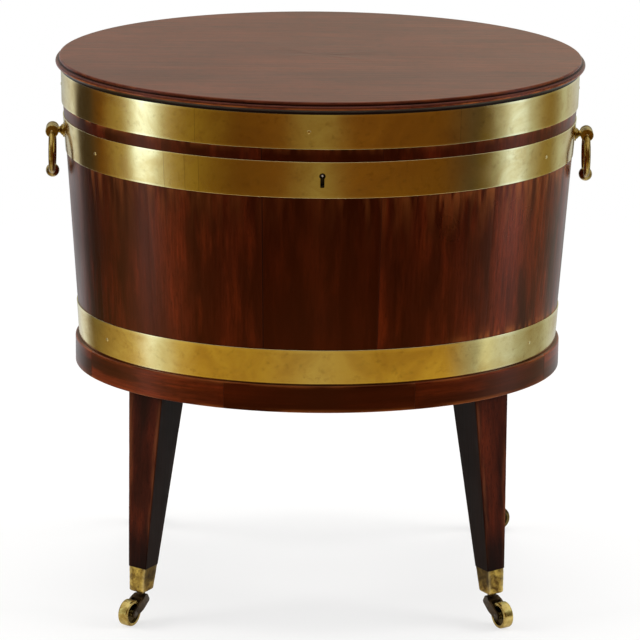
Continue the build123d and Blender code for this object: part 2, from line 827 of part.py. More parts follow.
# Box lock: case, plate, drill pin and sliding bolt
staple_foot = lid_level - staple_drop
eye_foot = staple_foot + staple_bar
finger_foot = eye_foot + (staple_eye_height - bolt_finger_height) / 2
bar_top = staple_foot - bolt_clearance
bar_foot = bar_top - bolt_bar_height
with BuildPart() as lock_case:
    with BuildSketch(Plane.XY.offset(lock_foot)):
        with Locations((0, lock_y)):
            Rectangle(lock_width, lock_thickness)
    extrude(amount=lock_height)
    with BuildSketch(Plane.XY.offset(lock_foot + lock_wall)):
        with Locations((0, lock_y)):
            Rectangle(lock_width - 2 * lock_wall, lock_thickness - 2 * lock_wall)
    extrude(amount=lock_height, mode=Mode.SUBTRACT)
    with BuildSketch(Plane.XY.offset(bar_foot - bolt_clearance)):
        with Locations((0, lock_y + lock_thickness / 2)):
            Rectangle(lock_width, lock_thickness / 2 + bolt_thickness / 2, align=(Align.CENTER, Align.MAX))
    extrude(amount=-rail_height)
    add(keyhole.part, mode=Mode.SUBTRACT)
    with BuildSketch(Plane.XZ.offset(-lock_y)):
        with Locations((0, keyhole_round_level)):
            Circle(drill_pin_radius)
    extrude(amount=-lock_thickness, mode=Mode.SUBTRACT)
save(lock_case.part, "lock_case")

with BuildPart() as lock_drill_pin:
    with BuildSketch(Plane.XZ.offset(-lock_y - lock_thickness / 2)):
        with Locations((0, keyhole_round_level)):
            Circle(drill_pin_radius)
    pin_reach = wall_half_width(keyhole_round_level) - oval_difference - drill_pin_inset
    extrude(amount=pin_reach + lock_y + lock_thickness / 2)
save(lock_drill_pin.part, "lock_drill_pin")

staple_places = [(-staple_spacing / 2, lock_y), (staple_spacing / 2, lock_y)]
with BuildPart() as lock_plate:
    with BuildSketch(Plane.XY.offset(rim_level - lock_plate_thickness)):
        with Locations((0, lock_y)):
            Rectangle(lock_plate_width, lock_plate_depth)
        with Locations(staple_places):
            Rectangle(
                staple_thickness + 2 * staple_clearance,
                staple_depth + 2 * staple_clearance,
                mode=Mode.SUBTRACT,
            )
    extrude(amount=lock_plate_thickness)
    for fastener in lock_screws:
        add(fastener, mode=Mode.SUBTRACT)
save(lock_plate.part, "lock_plate")
save(group(lock_screws), "lock_screws")

with BuildPart() as link_plate:
    with BuildSketch(Plane.XY.offset(lid_level)):
        with Locations((0, lock_y)):
            Rectangle(lock_plate_width, lock_plate_depth)
    extrude(amount=lock_plate_thickness)
    with BuildSketch(Plane.XY.offset(lid_level)):
        with Locations(staple_places):
            Rectangle(staple_thickness, staple_depth)
    extrude(amount=-staple_drop)
    with BuildSketch(Plane.YZ.offset(-staple_spacing)):
        with Locations((lock_y, eye_foot)):
            Rectangle(staple_eye_width, staple_eye_height, align=(Align.CENTER, Align.MIN))
    extrude(amount=2 * staple_spacing, mode=Mode.SUBTRACT)
    for fastener in link_screws:
        add(fastener, mode=Mode.SUBTRACT)
save(link_plate.part, "link_plate")
save(group(link_screws), "link_plate_screws")

finger_reach = staple_thickness / 2 + staple_clearance
hook_width = bolt_throw + bolt_post_width
with BuildPart() as lock_bolt:
    with BuildSketch(Plane.XZ.offset(-lock_y)):
        for staple_x in (-staple_spacing / 2, staple_spacing / 2):
            with Locations((staple_x - finger_reach - hook_width, bar_foot)):
                Rectangle(bolt_post_width, finger_foot - bar_foot, align=(Align.MIN, Align.MIN))
            with Locations((staple_x - finger_reach, finger_foot)):
                Rectangle(hook_width, bolt_finger_height, align=(Align.MAX, Align.MIN))
        with Locations((staple_spacing / 2 + bolt_bar_end, bar_foot)):
            bar_length = staple_spacing + bolt_bar_end + finger_reach + hook_width
            Rectangle(bar_length, bolt_bar_height, align=(Align.MAX, Align.MIN))
    extrude(amount=bolt_thickness / 2, both=True)
save(lock_bolt.part, "lock_bolt")

# Butt hinges: the odd knuckles belong to the body, the even ones to the lid
knuckle_pitch = (hinge_length + hinge_knuckle_gap) / hinge_knuckles
knuckle_length = knuckle_pitch - hinge_knuckle_gap


def hinge_leaf(spot, leaf_foot, own_knuckles, other_knuckles, stop_reach, bore, screws):
    """Leaf of one hinge: own knuckles, room for the other leaf's, and nibs that stop the lid."""
    first = spot - hinge_length / 2
    with BuildPart() as leaf:
        with BuildSketch(Plane.XY.offset(leaf_foot)):
            with Locations((spot, hinge_leaf_inner_y + hinge_leaf_width / 2)):
                Rectangle(hinge_length, hinge_leaf_width)
        extrude(amount=hinge_leaf_thickness)
        for index in other_knuckles:
            with BuildSketch(Plane.YZ.offset(first + index * knuckle_pitch - hinge_knuckle_gap)):
                with Locations((hinge_axis_y, hinge_level)):
                    Circle(hinge_knuckle_radius + hinge_clearance)
            extrude(amount=knuckle_length + 2 * hinge_knuckle_gap, mode=Mode.SUBTRACT)
        for index in own_knuckles:
            with BuildSketch(Plane.YZ.offset(first + index * knuckle_pitch)):
                with Locations((hinge_axis_y, hinge_level)):
                    Circle(hinge_knuckle_radius)
                if stop_reach > 0:
                    with Locations(Location((hinge_axis_y, hinge_level, 0), (0, 0, hinge_stop_angle))):
                        Rectangle(stop_reach, hinge_stop_width, align=(Align.MIN, Align.CENTER))
            extrude(amount=knuckle_length)
        with BuildSketch(Plane.YZ.offset(first)):
            with Locations((hinge_axis_y, hinge_level)):
                Circle(bore)
        extrude(amount=hinge_length, mode=Mode.SUBTRACT)
        for fastener in screws:
            add(fastener, mode=Mode.SUBTRACT)
    return leaf.part


body_knuckles = range(0, hinge_knuckles, 2)
lid_knuckles = range(1, hinge_knuckles, 2)
body_leaves = []
lid_leaves = []
hinge_pins = []
for spot in (-hinge_spot_x, hinge_spot_x):
    body_leaf_foot = rim_level - hinge_leaf_thickness
    lid_bore = hinge_pin_radius + running_clearance
    body_knuckle_sets = (body_knuckles, lid_knuckles, 0, hinge_pin_radius)
    lid_knuckle_sets = (lid_knuckles, body_knuckles, hinge_stop_reach, lid_bore)
    body_leaves.append(hinge_leaf(spot, body_leaf_foot, *body_knuckle_sets, body_hinge_screws))
    lid_leaves.append(hinge_leaf(spot, lid_level, *lid_knuckle_sets, lid_hinge_screws))
    with BuildPart() as hinge_pin:
        with BuildSketch(Plane.YZ.offset(spot - hinge_length / 2)):
            with Locations((hinge_axis_y, hinge_level)):
                Circle(hinge_pin_radius)
        extrude(amount=hinge_length)
    hinge_pins.append(hinge_pin.part)
save(group(body_leaves), "hinge_leaves_body")
save(group(lid_leaves), "hinge_leaves_lid")
save(group(hinge_pins), "hinge_pins")
save(group(body_hinge_screws), "hinge_screws_body")
save(group(lid_hinge_screws), "hinge_screws_lid")

# Drain cock: flanged tube through the floor, with a cross barrel for the plug
cock_level = floor_level - cock_drop
flange_level = lining_level + lining_thickness
barrel_plane = Plane.XZ.offset(-cock_barrel_length / 2)
with BuildPart() as drain_cock:
    with BuildSketch(Plane.XY.offset(floor_level - drain_drop)):
        Circle(drain_tube_radius)
    extrude(amount=flange_level - floor_level + drain_drop)
    with BuildSketch(Plane.XY.offset(flange_level)):
        Circle(drain_flange_radius)
    extrude(amount=drain_flange_thickness)
    with BuildSketch(barrel_plane):
        with Locations((0, cock_level)):
            Circle(cock_barrel_radius)
    extrude(amount=cock_barrel_length)
    with BuildSketch(Plane.XY.offset(floor_level - drain_drop)):
        Circle(drain_bore_radius)
    extrude(amount=flange_level + drain_flange_thickness - floor_level + drain_drop, mode=Mode.SUBTRACT)
    with BuildSketch(barrel_plane):
        with Locations((0, cock_level)):
            Circle(cock_plug_radius + running_clearance)
    extrude(amount=cock_barrel_length, mode=Mode.SUBTRACT)
save(drain_cock.part, "drain_cock_body")

with BuildPart() as drain_nut:
    with BuildSketch(Plane.XY.offset(floor_level - drain_nut_thickness)):
        RegularPolygon(drain_nut_width / 2, 6, major_radius=False)
        Circle(drain_tube_radius, mode=Mode.SUBTRACT)
    extrude(amount=drain_nut_thickness)
save(drain_nut.part, "drain_nut")

# Plug, shut at rest: its cross bore lies level and its bar handle with it
barrel_front = cock_barrel_length / 2
handle_reach = barrel_front + cock_stem_length
tail_reach = barrel_front + cock_washer_gap + cock_washer_thickness
with BuildPart() as drain_plug:
    with BuildSketch(barrel_plane):
        with Locations((0, cock_level)):
            Circle(cock_plug_radius)
    extrude(amount=cock_barrel_length)
    with BuildSketch(Plane.XZ.offset(barrel_front)):
        with Locations((0, cock_level)):
            Circle(cock_stem_radius)
    extrude(amount=cock_stem_length)
    with BuildSketch(Plane.XZ.offset(-tail_reach)):
        with Locations((0, cock_level)):
            Circle(cock_tail_radius)
    extrude(amount=tail_reach - barrel_front)
    with BuildSketch(Plane.YZ.offset(-cock_plug_radius)):
        with Locations((0, cock_level)):
            Circle(drain_bore_radius)
    extrude(amount=2 * cock_plug_radius, mode=Mode.SUBTRACT)
    with BuildSketch(Plane.YZ.offset(-cock_handle_length / 2)):
        with Locations((-handle_reach, cock_level)):
            Circle(cock_handle_radius)
    extrude(amount=cock_handle_length)
save(drain_plug.part, "drain_plug")

with BuildPart() as drain_plug_washer:
    with BuildSketch(Plane.XZ.offset(-tail_reach)):
        with Locations((0, cock_level)):
            Circle(cock_washer_radius)
            Circle(cock_tail_radius, mode=Mode.SUBTRACT)
    extrude(amount=cock_washer_thickness)
save(drain_plug_washer.part, "drain_plug_washer")
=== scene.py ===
"""Antique oval wine cooler: coopered mahogany, brass bands, ring handles and castors.

Sizes are millimetres in the classes and metres in the meshes. The front is -Y.
"""

import logging
import math
from dataclasses import dataclass
from enum import Enum
from functools import lru_cache

import bmesh
import bpy
import numpy as np
from mathutils import Matrix, Vector


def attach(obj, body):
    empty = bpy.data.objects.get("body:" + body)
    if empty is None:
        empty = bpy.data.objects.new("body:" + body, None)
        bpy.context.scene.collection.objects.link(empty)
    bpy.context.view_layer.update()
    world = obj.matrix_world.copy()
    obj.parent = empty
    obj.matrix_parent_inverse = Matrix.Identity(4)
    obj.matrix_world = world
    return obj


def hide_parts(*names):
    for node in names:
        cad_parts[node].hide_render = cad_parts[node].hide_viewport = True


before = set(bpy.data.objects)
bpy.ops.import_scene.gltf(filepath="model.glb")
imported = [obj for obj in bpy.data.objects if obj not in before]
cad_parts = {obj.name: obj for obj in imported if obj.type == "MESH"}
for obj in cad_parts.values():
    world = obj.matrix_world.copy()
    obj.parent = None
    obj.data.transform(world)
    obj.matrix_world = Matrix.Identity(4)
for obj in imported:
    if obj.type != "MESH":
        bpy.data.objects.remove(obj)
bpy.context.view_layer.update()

MM = 0.001
# Half width less half depth, the same for every oval of the object
OVAL_DIFFERENCE = 90.0
BAND_THICKNESS = 1.2
# Waves that hammer and use left in the brass: radians of wave to a radian round, millimetres
# up to a radian of wave, height in millimetres, and what is added to the seed
BAND_WAVES = ((4.0, 22.0, 0.10, 0), (17.0, 9.0, 0.025, 7))
# Degrees past which an edge is drawn sharp, and past which it is rounded on a CAD shape
SHARP_ANGLE = 38.0
ROUNDING_ANGLE = 30.0
MERGE_DISTANCE = 2e-6
# Largest share of a side that the rounding of one corner may take
CURVE_SHARE = 0.42
# Share of the spacing within which an extra point is too near to an outline's own
TOO_NEAR = 0.3
# Brings the mean of six sines to about the height asked for
WAVE_GAIN = 1.6
WHITE = (1.0, 1.0, 1.0, 1.0)
Node = bpy.types.Node
Tree = bpy.types.NodeTree
Object = bpy.types.Object
Output = tuple[Node, str]
log = logging.getLogger("wine_cooler")


class Corner(Enum):
    """The four legs, by the signs of their x and y."""

    FRONT_LEFT = (-1, -1)
    FRONT_RIGHT = (1, -1)
    BACK_LEFT = (-1, 1)
    BACK_RIGHT = (1, 1)

    @property
    def label(self) -> str:
        """Name used for the nodes of this corner."""
        return self.name.lower()

    @property
    def in_front(self) -> bool:
        """Whether the leg is one of the front pair."""
        return self.value[1] < 0


class Side(Enum):
    """The two ends of the oval, by the sign of x."""

    LEFT = -1
    RIGHT = 1

    @property
    def label(self) -> str:
        """Name used for the nodes of this end."""
        return self.name.lower()


class Grain(Enum):
    """Which way the wood's fibres run on a piece."""

    UPRIGHT = "upright"
    ACROSS = "across"
    ROUND = "round"


# Node trees

# Settings that many nodes share
MIX = {"data_type": "RGBA"}
MULTIPLY = {"data_type": "RGBA", "blend_type": "MULTIPLY"}
TIMES = {"operation": "MULTIPLY"}
SMOOTH = {"interpolation_type": "SMOOTHSTEP"}


def linear(hex_colour: str) -> tuple[float, float, float, float]:
    """Turns an sRGB hex colour into linear RGBA.

    Args:
        hex_colour: colour written as #rrggbb.

    Returns:
        The four linear channels.
    """
    channels = [int(hex_colour[start:start + 2], 16) / 255 for start in (1, 3, 5)]
    curve = [c / 12.92 if c <= 0.04045 else ((c + 0.055) / 1.055) ** 2.4 for c in channels]
    return (curve[0], curve[1], curve[2], 1.0)


def add_node(tree: Tree, kind: str, settings: dict | None = None, inputs: dict | None = None) -> Node:
    """Adds one node, sets it up and links it.

    Args:
        tree: node tree that gets the node.
        kind: Blender's name for the kind of node, without the ShaderNode at its start.
        settings: the node's properties; "stops" holds a colour ramp's places and colours,
            each in sRGB hex or in linear channels.
        inputs: values by socket name; a pair of a node and an output name becomes a link.

    Returns:
        The new node.
    """
    node = tree.nodes.new(f"ShaderNode{kind}")
    for key, value in (settings or {}).items():
        if key == "stops":
            colours = [(spot, linear(tone) if isinstance(tone, str) else tone) for spot, tone in value]
            elements = node.color_ramp.elements
            for element, (spot, colour) in zip(elements, (colours[0], colours[-1])):
                element.position = spot
                element.color = colour
            for spot, colour in colours[1:-1]:
                elements.new(spot).color = colour
        else:
            setattr(node, key, value)
    for key, value in (inputs or {}).items():
        socket = next(s for s in node.inputs if key in (s.identifier, s.name))
        if isinstance(value, tuple) and isinstance(value[0], Node):
            output = next(s for s in value[0].outputs if value[1] in (s.identifier, s.name))
            tree.links.new(output, socket)
        else:
            socket.default_value = value
    return node


def new_material(name: str) -> tuple[bpy.types.Material, Tree]:
    """Makes an empty node material.

    Args:
        name: the material's name.

    Returns:
        The material and its emptied node tree.
    """
    material = bpy.data.materials.new(name)
    material.use_nodes = True
    material.node_tree.nodes.clear()
    return material, material.node_tree


# Finishes

# Width and length of each figure in the wood, in millimetres, and its detail. Real pores are
# 0.2 mm wide; these are drawn over four times as wide, so that they show.
WOOD_FIGURES = {
    "ribbons": (33.0, 450.0, 3.0), "flames": (14.0, 95.0, 3.0), "streaks": (3.0, 110.0, 5.0),
    "pores": (0.9, 14.0, 1.0), "stains": (110.0, 110.0, 4.0), "rubs": (10.0, 80.0, 5.0),
}
# How far a piece of tone 1 has its figures moved, in metres, so that no two staves match
FIGURE_SHIFT = (3.7, 5.3, 2.9)
# Dirt and old wax in joints, and painted shade in hollows and on faces turned from the light
WOOD_GRIME_AND_SHADE = "#110a08"
BRASS_GRIME_AND_SHADE = "#2c1d0c"


@dataclass(frozen=True)
class PolishedMahogany:
    """French-polished mahogany, sawn, planed and rubbed: long grain, dark pores, thin gloss."""

    grain: Grain = Grain.UPRIGHT
    name: str = "polished_mahogany"
    shade: str = "#1e0905"
    body: str = "#3a1209"
    light: str = "#64220f"
    flame: str = "#8c3110"
    bare: str = "#9a5626"
    fibre: str = "#ff7c36"
    fibre_gloss: float = 0.85
    roughness: float = 0.33
    gloss_play: float = 0.06
    coat: float = 0.22
    coat_ior: float = 1.3
    coat_roughness: float = 0.15
    flame_share: float = 0.5
    streak_share: float = 0.65
    stain_share: float = 0.6
    waviness: float = 0.25

    def along(self, tree: Tree) -> Output:
        """Coordinates in metres whose Z runs with the fibres, moved for each stave.

        Args:
            tree: node tree that gets the nodes.

        Returns:
            The node and output that give the coordinates.
        """
        if self.grain is Grain.ROUND:
            length = add_node(tree, "Attribute", {"attribute_name": "along"})
            across = add_node(tree, "Attribute", {"attribute_name": "across"})
            lengthwise = add_node(tree, "CombineXYZ", {}, {"X": (across, "Fac"), "Z": (length, "Fac")})
        else:
            here = add_node(tree, "TexCoord")
            turn = (0.0, math.pi / 2, 0.0) if self.grain is Grain.ACROSS else (0.0, 0.0, 0.0)
            lengthwise = add_node(tree, "Mapping", {}, {"Vector": (here, "Object"), "Rotation": turn})
        tone = add_node(tree, "Attribute", {"attribute_name": "tone"})
        shift = add_node(tree, "VectorMath", TIMES, {
            "Vector": (tone, "Vector"), "Vector_001": FIGURE_SHIFT,
        })
        moved = add_node(tree, "VectorMath", {"operation": "ADD"}, {
            "Vector": (lengthwise, "Vector"), "Vector_001": (shift, "Vector"),
        })
        return (moved, "Vector")

    def figures(self, tree: Tree) -> dict[str, Output]:
        """Noise for each figure of the wood, stretched along the fibres.

        Args:
            tree: node tree that gets the nodes.

        Returns:
            The node and output of each figure, by its name.
        """
        start = self.along(tree)
        found = {}
        for name, (width, length, detail) in WOOD_FIGURES.items():
            scale = (1 / (width * MM), 1 / (width * MM), 1 / (length * MM))
            space = add_node(tree, "Mapping", {}, {"Vector": start, "Scale": scale})
            settings = {"Vector": (space, "Vector"), "Scale": 1.0, "Detail": detail}
            found[name] = (add_node(tree, "TexNoise", {}, settings), "Fac")
        return found

    def colour(self, tree: Tree, figure: dict) -> Output:
        """Ribbons and flames of colour, darkened by stave, streak, pore and stain, then worn, then darkened
        again by soiled joints and painted shade.

        Args:
            tree: node tree that gets the nodes.
            figure: the wood's figures.

        Returns:
            The node and output that give the colour.
        """
        ground = add_node(
            tree, "ValToRGB", {"stops": [(0.34, self.shade), (0.5, self.body), (0.68, self.light)]},
            {"Fac": figure["ribbons"]},
        )
        flame = add_node(tree, "MapRange", {}, {
            "Value": figure["flames"], "From Min": 0.48, "From Max": 0.74, "To Max": self.flame_share,
        })
        flamed = add_node(tree, "Mix", MIX, {
            "Factor_Float": (flame, "Result"), "A_Color": (ground, "Color"),
            "B_Color": linear(self.flame),
        })
        tone = add_node(tree, "Attribute", {"attribute_name": "tone"})
        layers = (
            (1.0, (tone, "Fac"), [(0.0, "#83746d"), (0.5, "#cabfb9"), (1.0, "#ffffff")]),
            (self.streak_share, figure["streaks"], [
                (0.34, "#6b5a52"), (0.5, "#cfc2ba"), (0.64, "#fff4ea"),
            ]),
            (0.6, figure["pores"], [(0.34, "#3c2c26"), (0.42, "#ffffff")]),
            (self.stain_share, figure["stains"], [(0.34, "#6a5d58"), (0.56, "#ffffff")]),
        )
        reached = (flamed, "Result_Color")
        for share, source, stops in layers:
            ramp = add_node(tree, "ValToRGB", {"stops": stops}, {"Fac": source})
            darkened = add_node(tree, "Mix", MULTIPLY, {
                "Factor_Float": share, "A_Color": reached, "B_Color": (ramp, "Color"),
            })
            reached = (darkened, "Result_Color")
        edge = add_node(tree, "Attribute", {"attribute_name": "edge"})
        rubs = add_node(tree, "MapRange", {}, {
            "Value": figure["rubs"], "From Min": 0.42, "From Max": 0.62,
        })
        rubbed = add_node(tree, "Math", TIMES, {"Value": (edge, "Fac"), "Value_001": (rubs, "Result")})
        worn = add_node(tree, "Mix", MIX, {
            "Factor_Float": (rubbed, "Value"), "A_Color": reached, "B_Color": linear(self.bare),
        })
        # Dirt in joints, and painted shade in hollows and on faces turned from the light
        grime = add_node(tree, "Attribute", {"attribute_name": "grime"})
        grimed_and_shaded = add_node(tree, "Mix", MIX, {
            "Factor_Float": (grime, "Fac"), "A_Color": (worn, "Result_Color"),
            "B_Color": linear(WOOD_GRIME_AND_SHADE),
        })
        return (grimed_and_shaded, "Result_Color")

    def build(self) -> bpy.types.Material:
        """Wood with a broken, tinted gloss of its own under a clear, smoother coat of polish.

        Soiled joints and painted shade in hollows dull both glosses, so they stay dark from every side.

        Returns:
            The material.
        """
        material, tree = new_material(self.name)
        figure = self.figures(tree)
        gloss = add_node(tree, "MapRange", {}, {
            "Value": figure["stains"], "From Min": 0.3, "From Max": 0.7,
            "To Min": self.roughness + self.gloss_play, "To Max": self.roughness - self.gloss_play,
        })
        pore_bump = add_node(tree, "Bump", {}, {
            "Strength": 0.15, "Distance": 0.2 * MM, "Height": figure["pores"],
        })
        grain_bump = add_node(tree, "Bump", {}, {
            "Strength": 0.35, "Distance": 0.4 * MM, "Height": figure["streaks"],
            "Normal": (pore_bump, "Normal"),
        })
        here = add_node(tree, "TexCoord")
        waves = add_node(tree, "TexNoise", {}, {
            "Vector": (here, "Object"), "Scale": 1 / (45.0 * MM), "Detail": 1.0,
        })
        polish_bump = add_node(tree, "Bump", {}, {
            "Strength": self.waviness, "Distance": 1.0 * MM, "Height": (waves, "Fac"),
        })
        # The same marks take away the tinted gloss and the coat: dirt in joints, painted shade in hollows
        grime = add_node(tree, "Attribute", {"attribute_name": "grime"})
        fibre = add_node(tree, "Mix", MIX, {
            "Factor_Float": (grime, "Fac"), "A_Color": linear(self.fibre), "B_Color": linear(WOOD_GRIME_AND_SHADE),
        })
        coat = add_node(tree, "MapRange", {}, {
            "Value": (grime, "Fac"), "To Min": self.coat, "To Max": 0.0,
        })
        shader = add_node(tree, "BsdfPrincipled", {}, {
            "Base Color": self.colour(tree, figure), "Roughness": (gloss, "Result"), "IOR": 1.5,
            "Specular IOR Level": self.fibre_gloss, "Specular Tint": (fibre, "Result_Color"),
            "Coat Weight": (coat, "Result") if self.coat else 0.0, "Coat IOR": self.coat_ior,
            "Coat Roughness": self.coat_roughness, "Normal": (grain_bump, "Normal"),
            "Coat Normal": (polish_bump, "Normal"),
        })
        add_node(tree, "OutputMaterial", {}, {"Surface": (shader, "BSDF")})
        return material


@dataclass(frozen=True)
class AgedBrass:
    """Rolled sheet or cast brass, polished by hand for years: soft gloss, brown mottled tarnish."""

    name: str = "aged_brass"
    bright: str = "#f2e2aa"
    dull: str = "#dfc585"
    stain: str = "#8f6a34"
    worn: str = "#fbefbd"
    smooth: float = 0.11
    rough: float = 0.21
    cloud: float = 45.0
    speck: float = 9.0
    stain_share: float = 0.3
    rub: float = 0.7

    def build(self) -> bpy.types.Material:
        """Clouds and specks of tarnish over rubbed metal, bright on edges, soiled joints and painted shade
        in hollows.

        The cloud, speck and rub fields are widths in millimetres.

        Returns:
            The material.
        """
        material, tree = new_material(self.name)
        here = add_node(tree, "TexCoord")
        clouds = add_node(tree, "TexNoise", {}, {
            "Vector": (here, "Object"), "Scale": 1 / (self.cloud * MM), "Detail": 4.0, "Roughness": 0.55,
            "Distortion": 0.6,
        })
        specks = add_node(tree, "TexNoise", {}, {
            "Vector": (here, "Object"), "Scale": 1 / (self.speck * MM), "Detail": 6.0, "Roughness": 0.7,
        })
        rub_space = add_node(tree, "Mapping", {}, {
            "Vector": (here, "Object"), "Scale": (14.0, 14.0, 1 / (self.rub * MM)),
        })
        rubbing = add_node(tree, "TexNoise", {}, {
            "Vector": (rub_space, "Vector"), "Scale": 1.0, "Detail": 3.0,
        })
        cloud_ramp = add_node(tree, "ValToRGB", {"stops": [(0.38, self.bright), (0.66, self.dull)]}, {
            "Fac": (clouds, "Fac"),
        })
        speck_share = add_node(tree, "MapRange", {}, {
            "Value": (specks, "Fac"), "From Min": 0.54, "From Max": 0.72, "To Max": self.stain_share,
        })
        edge = add_node(tree, "Attribute", {"attribute_name": "edge"})
        # Dirt in joints, painted shade in hollows and on inner faces
        grime = add_node(tree, "Attribute", {"attribute_name": "grime"})
        reached = (cloud_ramp, "Color")
        for share, tone in (
            ((speck_share, "Result"), self.stain), ((edge, "Fac"), self.worn),
            ((grime, "Fac"), BRASS_GRIME_AND_SHADE),
        ):
            laid = add_node(tree, "Mix", MIX, {
                "Factor_Float": share, "A_Color": reached, "B_Color": linear(tone),
            })
            reached = (laid, "Result_Color")
        gloss = add_node(tree, "MapRange", {}, {
            "Value": (clouds, "Fac"), "From Min": 0.35, "From Max": 0.7, "To Min": self.smooth,
            "To Max": self.rough,
        })
        waves = add_node(tree, "TexNoise", {}, {
            "Vector": (here, "Object"), "Scale": 1 / (self.cloud * MM), "Detail": 1.0,
        })
        dents = add_node(tree, "Bump", {}, {
            "Strength": 0.5, "Distance": 1.0 * MM, "Height": (waves, "Fac"),
        })
        scratches = add_node(tree, "Bump", {}, {
            "Strength": 0.12, "Distance": 0.25 * MM, "Height": (rubbing, "Fac"),
            "Normal": (dents, "Normal"),
        })
        shader = add_node(tree, "BsdfPrincipled", {}, {
            "Base Color": reached, "Metallic": 1.0, "Roughness": (gloss, "Result"),
            "Normal": (scratches, "Normal"),
        })
        add_node(tree, "OutputMaterial", {}, {"Surface": (shader, "BSDF")})
        return material


@dataclass(frozen=True)
class DullMetal:
    """Cast, forged or rolled metal that has gone dull: blotched colour, broken gloss."""

    name: str
    ground: str
    patch: str
    metallic: float
    smooth: float
    rough: float
    blotch: float
    relief: float

    def build(self) -> bpy.types.Material:
        """Two tones in patches, with a pitted surface finer than the patches.

        Returns:
            The material.
        """
        material, tree = new_material(self.name)
        place = add_node(tree, "TexCoord")
        patches = add_node(tree, "TexNoise", {}, {
            "Vector": (place, "Object"), "Scale": self.blotch, "Detail": 6.0, "Roughness": 0.65,
        })
        pits = add_node(tree, "TexNoise", {}, {
            "Vector": (place, "Object"), "Scale": self.blotch * 7, "Detail": 3.0,
        })
        colour = add_node(tree, "ValToRGB", {"stops": [(0.35, self.ground), (0.65, self.patch)]}, {
            "Fac": (patches, "Fac"),
        })
        gloss = add_node(tree, "MapRange", {}, {
            "Value": (patches, "Fac"), "From Min": 0.3, "From Max": 0.7, "To Min": self.smooth,
            "To Max": self.rough,
        })
        relief = add_node(tree, "Bump", {}, {
            "Strength": 0.6, "Distance": self.relief * MM, "Height": (pits, "Fac"),
        })
        shader = add_node(tree, "BsdfPrincipled", {}, {
            "Base Color": (colour, "Color"), "Metallic": self.metallic, "Roughness": (gloss, "Result"),
            "Normal": (relief, "Normal"),
        })
        add_node(tree, "OutputMaterial", {}, {"Surface": (shader, "BSDF")})
        return material


STAVE_WOOD = PolishedMahogany(name="polished_mahogany_staves")
# Flat and dusted daily, so its gloss is even and its colour faded
LID_WOOD = PolishedMahogany(
    name="polished_mahogany_lid", grain=Grain.ACROSS, shade="#723627", body="#7d3c29", light="#86432d",
    flame="#8d4830", fibre_gloss=0.4, roughness=0.3, gloss_play=0.015, coat=0.3, coat_ior=1.5,
    coat_roughness=0.12, flame_share=0.3, streak_share=0.5, stain_share=0.15, waviness=0.02,
)
# Rubbed by dusters and skirts, so it is redder than the staves above it
FRAME_WOOD = PolishedMahogany(
    name="polished_mahogany_frame", grain=Grain.ROUND, body="#46170b", light="#822f13", flame="#a03c14",
)
# Kicked and never rubbed, so its polish is thin and its arrises broken; its faces get painted shade from its
# marks
LEG_WOOD = PolishedMahogany(
    name="polished_mahogany_legs", shade="#260d07", body="#4a190c", light="#6c2a12", flame="#843213",
    bare="#7c4526", fibre="#ff9a6a", fibre_gloss=0.2, roughness=0.5, coat=0.06, coat_roughness=0.3,
    streak_share=0.4,
)
# Oiled and never polished, so it is open, brown and dry to the eye
PLAIN_WOOD = PolishedMahogany(
    name="plain_mahogany", shade="#4a2816", body="#6b3c23", light="#8a5533", flame="#8a5533",
    fibre="#ffffff", fibre_gloss=0.4, roughness=0.72, coat=0.0,
)
BAND_BRASS = AgedBrass(name="rolled_brass_bands")
CAST_BRASS = AgedBrass(name="cast_brass", cloud=17.0, speck=4.0, smooth=0.2, rough=0.36)
# Rubbed only by the hands that lift it, so brown and green tarnish stays in its hollows
HANDLE_BRASS = AgedBrass(
    name="handled_cast_brass", bright="#c8ae66", dull="#80612f", stain="#2b1d10", cloud=12.0, speck=4.0,
    smooth=0.2, rough=0.38, stain_share=0.75,
)
CUP_BRASS = AgedBrass(
    name="battered_cast_brass", bright="#c9a955", dull="#6b4f26", stain="#241a14", cloud=11.0, speck=4.0,
    smooth=0.3, rough=0.5, stain_share=0.95,
)
# Rolled over floors for years, so its brightness is worn dull and yellow
WHEEL_BRASS = AgedBrass(
    name="rolled_castor_brass", bright="#dcc67c", dull="#a08544", stain="#4a3818", cloud=14.0, speck=4.0,
    smooth=0.14, rough=0.3, stain_share=0.5,
)
# The back pair: a darker, browner copy of the wheels' brass, painted shade for their place in shadow, with
# tarnish as well
SHADED_BACK_WHEEL_BRASS = AgedBrass(
    name="shaded_tarnished_castor_brass", bright="#78683e", dull="#453722", stain="#1d150d", cloud=14.0,
    speck=4.0, smooth=0.25, rough=0.45, stain_share=0.8,
)
# Bronze castings blackened by handling
DARK_BRONZE = DullMetal(
    name="dark_bronze", ground="#2c2118", patch="#57452f", metallic=0.9, smooth=0.34, rough=0.5,
    blotch=120.0, relief=0.25,
)
# Iron and steel, forged and filed, browned by age
WORN_STEEL = DullMetal(
    name="worn_steel", ground="#4c463f", patch="#77716a", metallic=0.9, smooth=0.35, rough=0.6,
    blotch=150.0, relief=0.2,
)
# The end of the drill pin, rubbed clean by the key
BRIGHT_STEEL = DullMetal(
    name="rubbed_steel", ground="#b4a9a6", patch="#e0d8d4", metallic=0.35, smooth=0.3, rough=0.45,
    blotch=300.0, relief=0.05,
)
# Lead sheet dressed over the wood with a mallet: blue-grey, dull and uneven
SHEET_LEAD = DullMetal(
    name="sheet_lead", ground="#54575a", patch="#7f8386", metallic=0.55, smooth=0.45, rough=0.68,
    blotch=26.0, relief=0.5,
)


Finish = PolishedMahogany | AgedBrass | DullMetal


@lru_cache(maxsize=None)
def material_of(finish: Finish) -> bpy.types.Material:
    """Builds a finish the first time it is asked for."""
    return finish.build()


# Surfaces


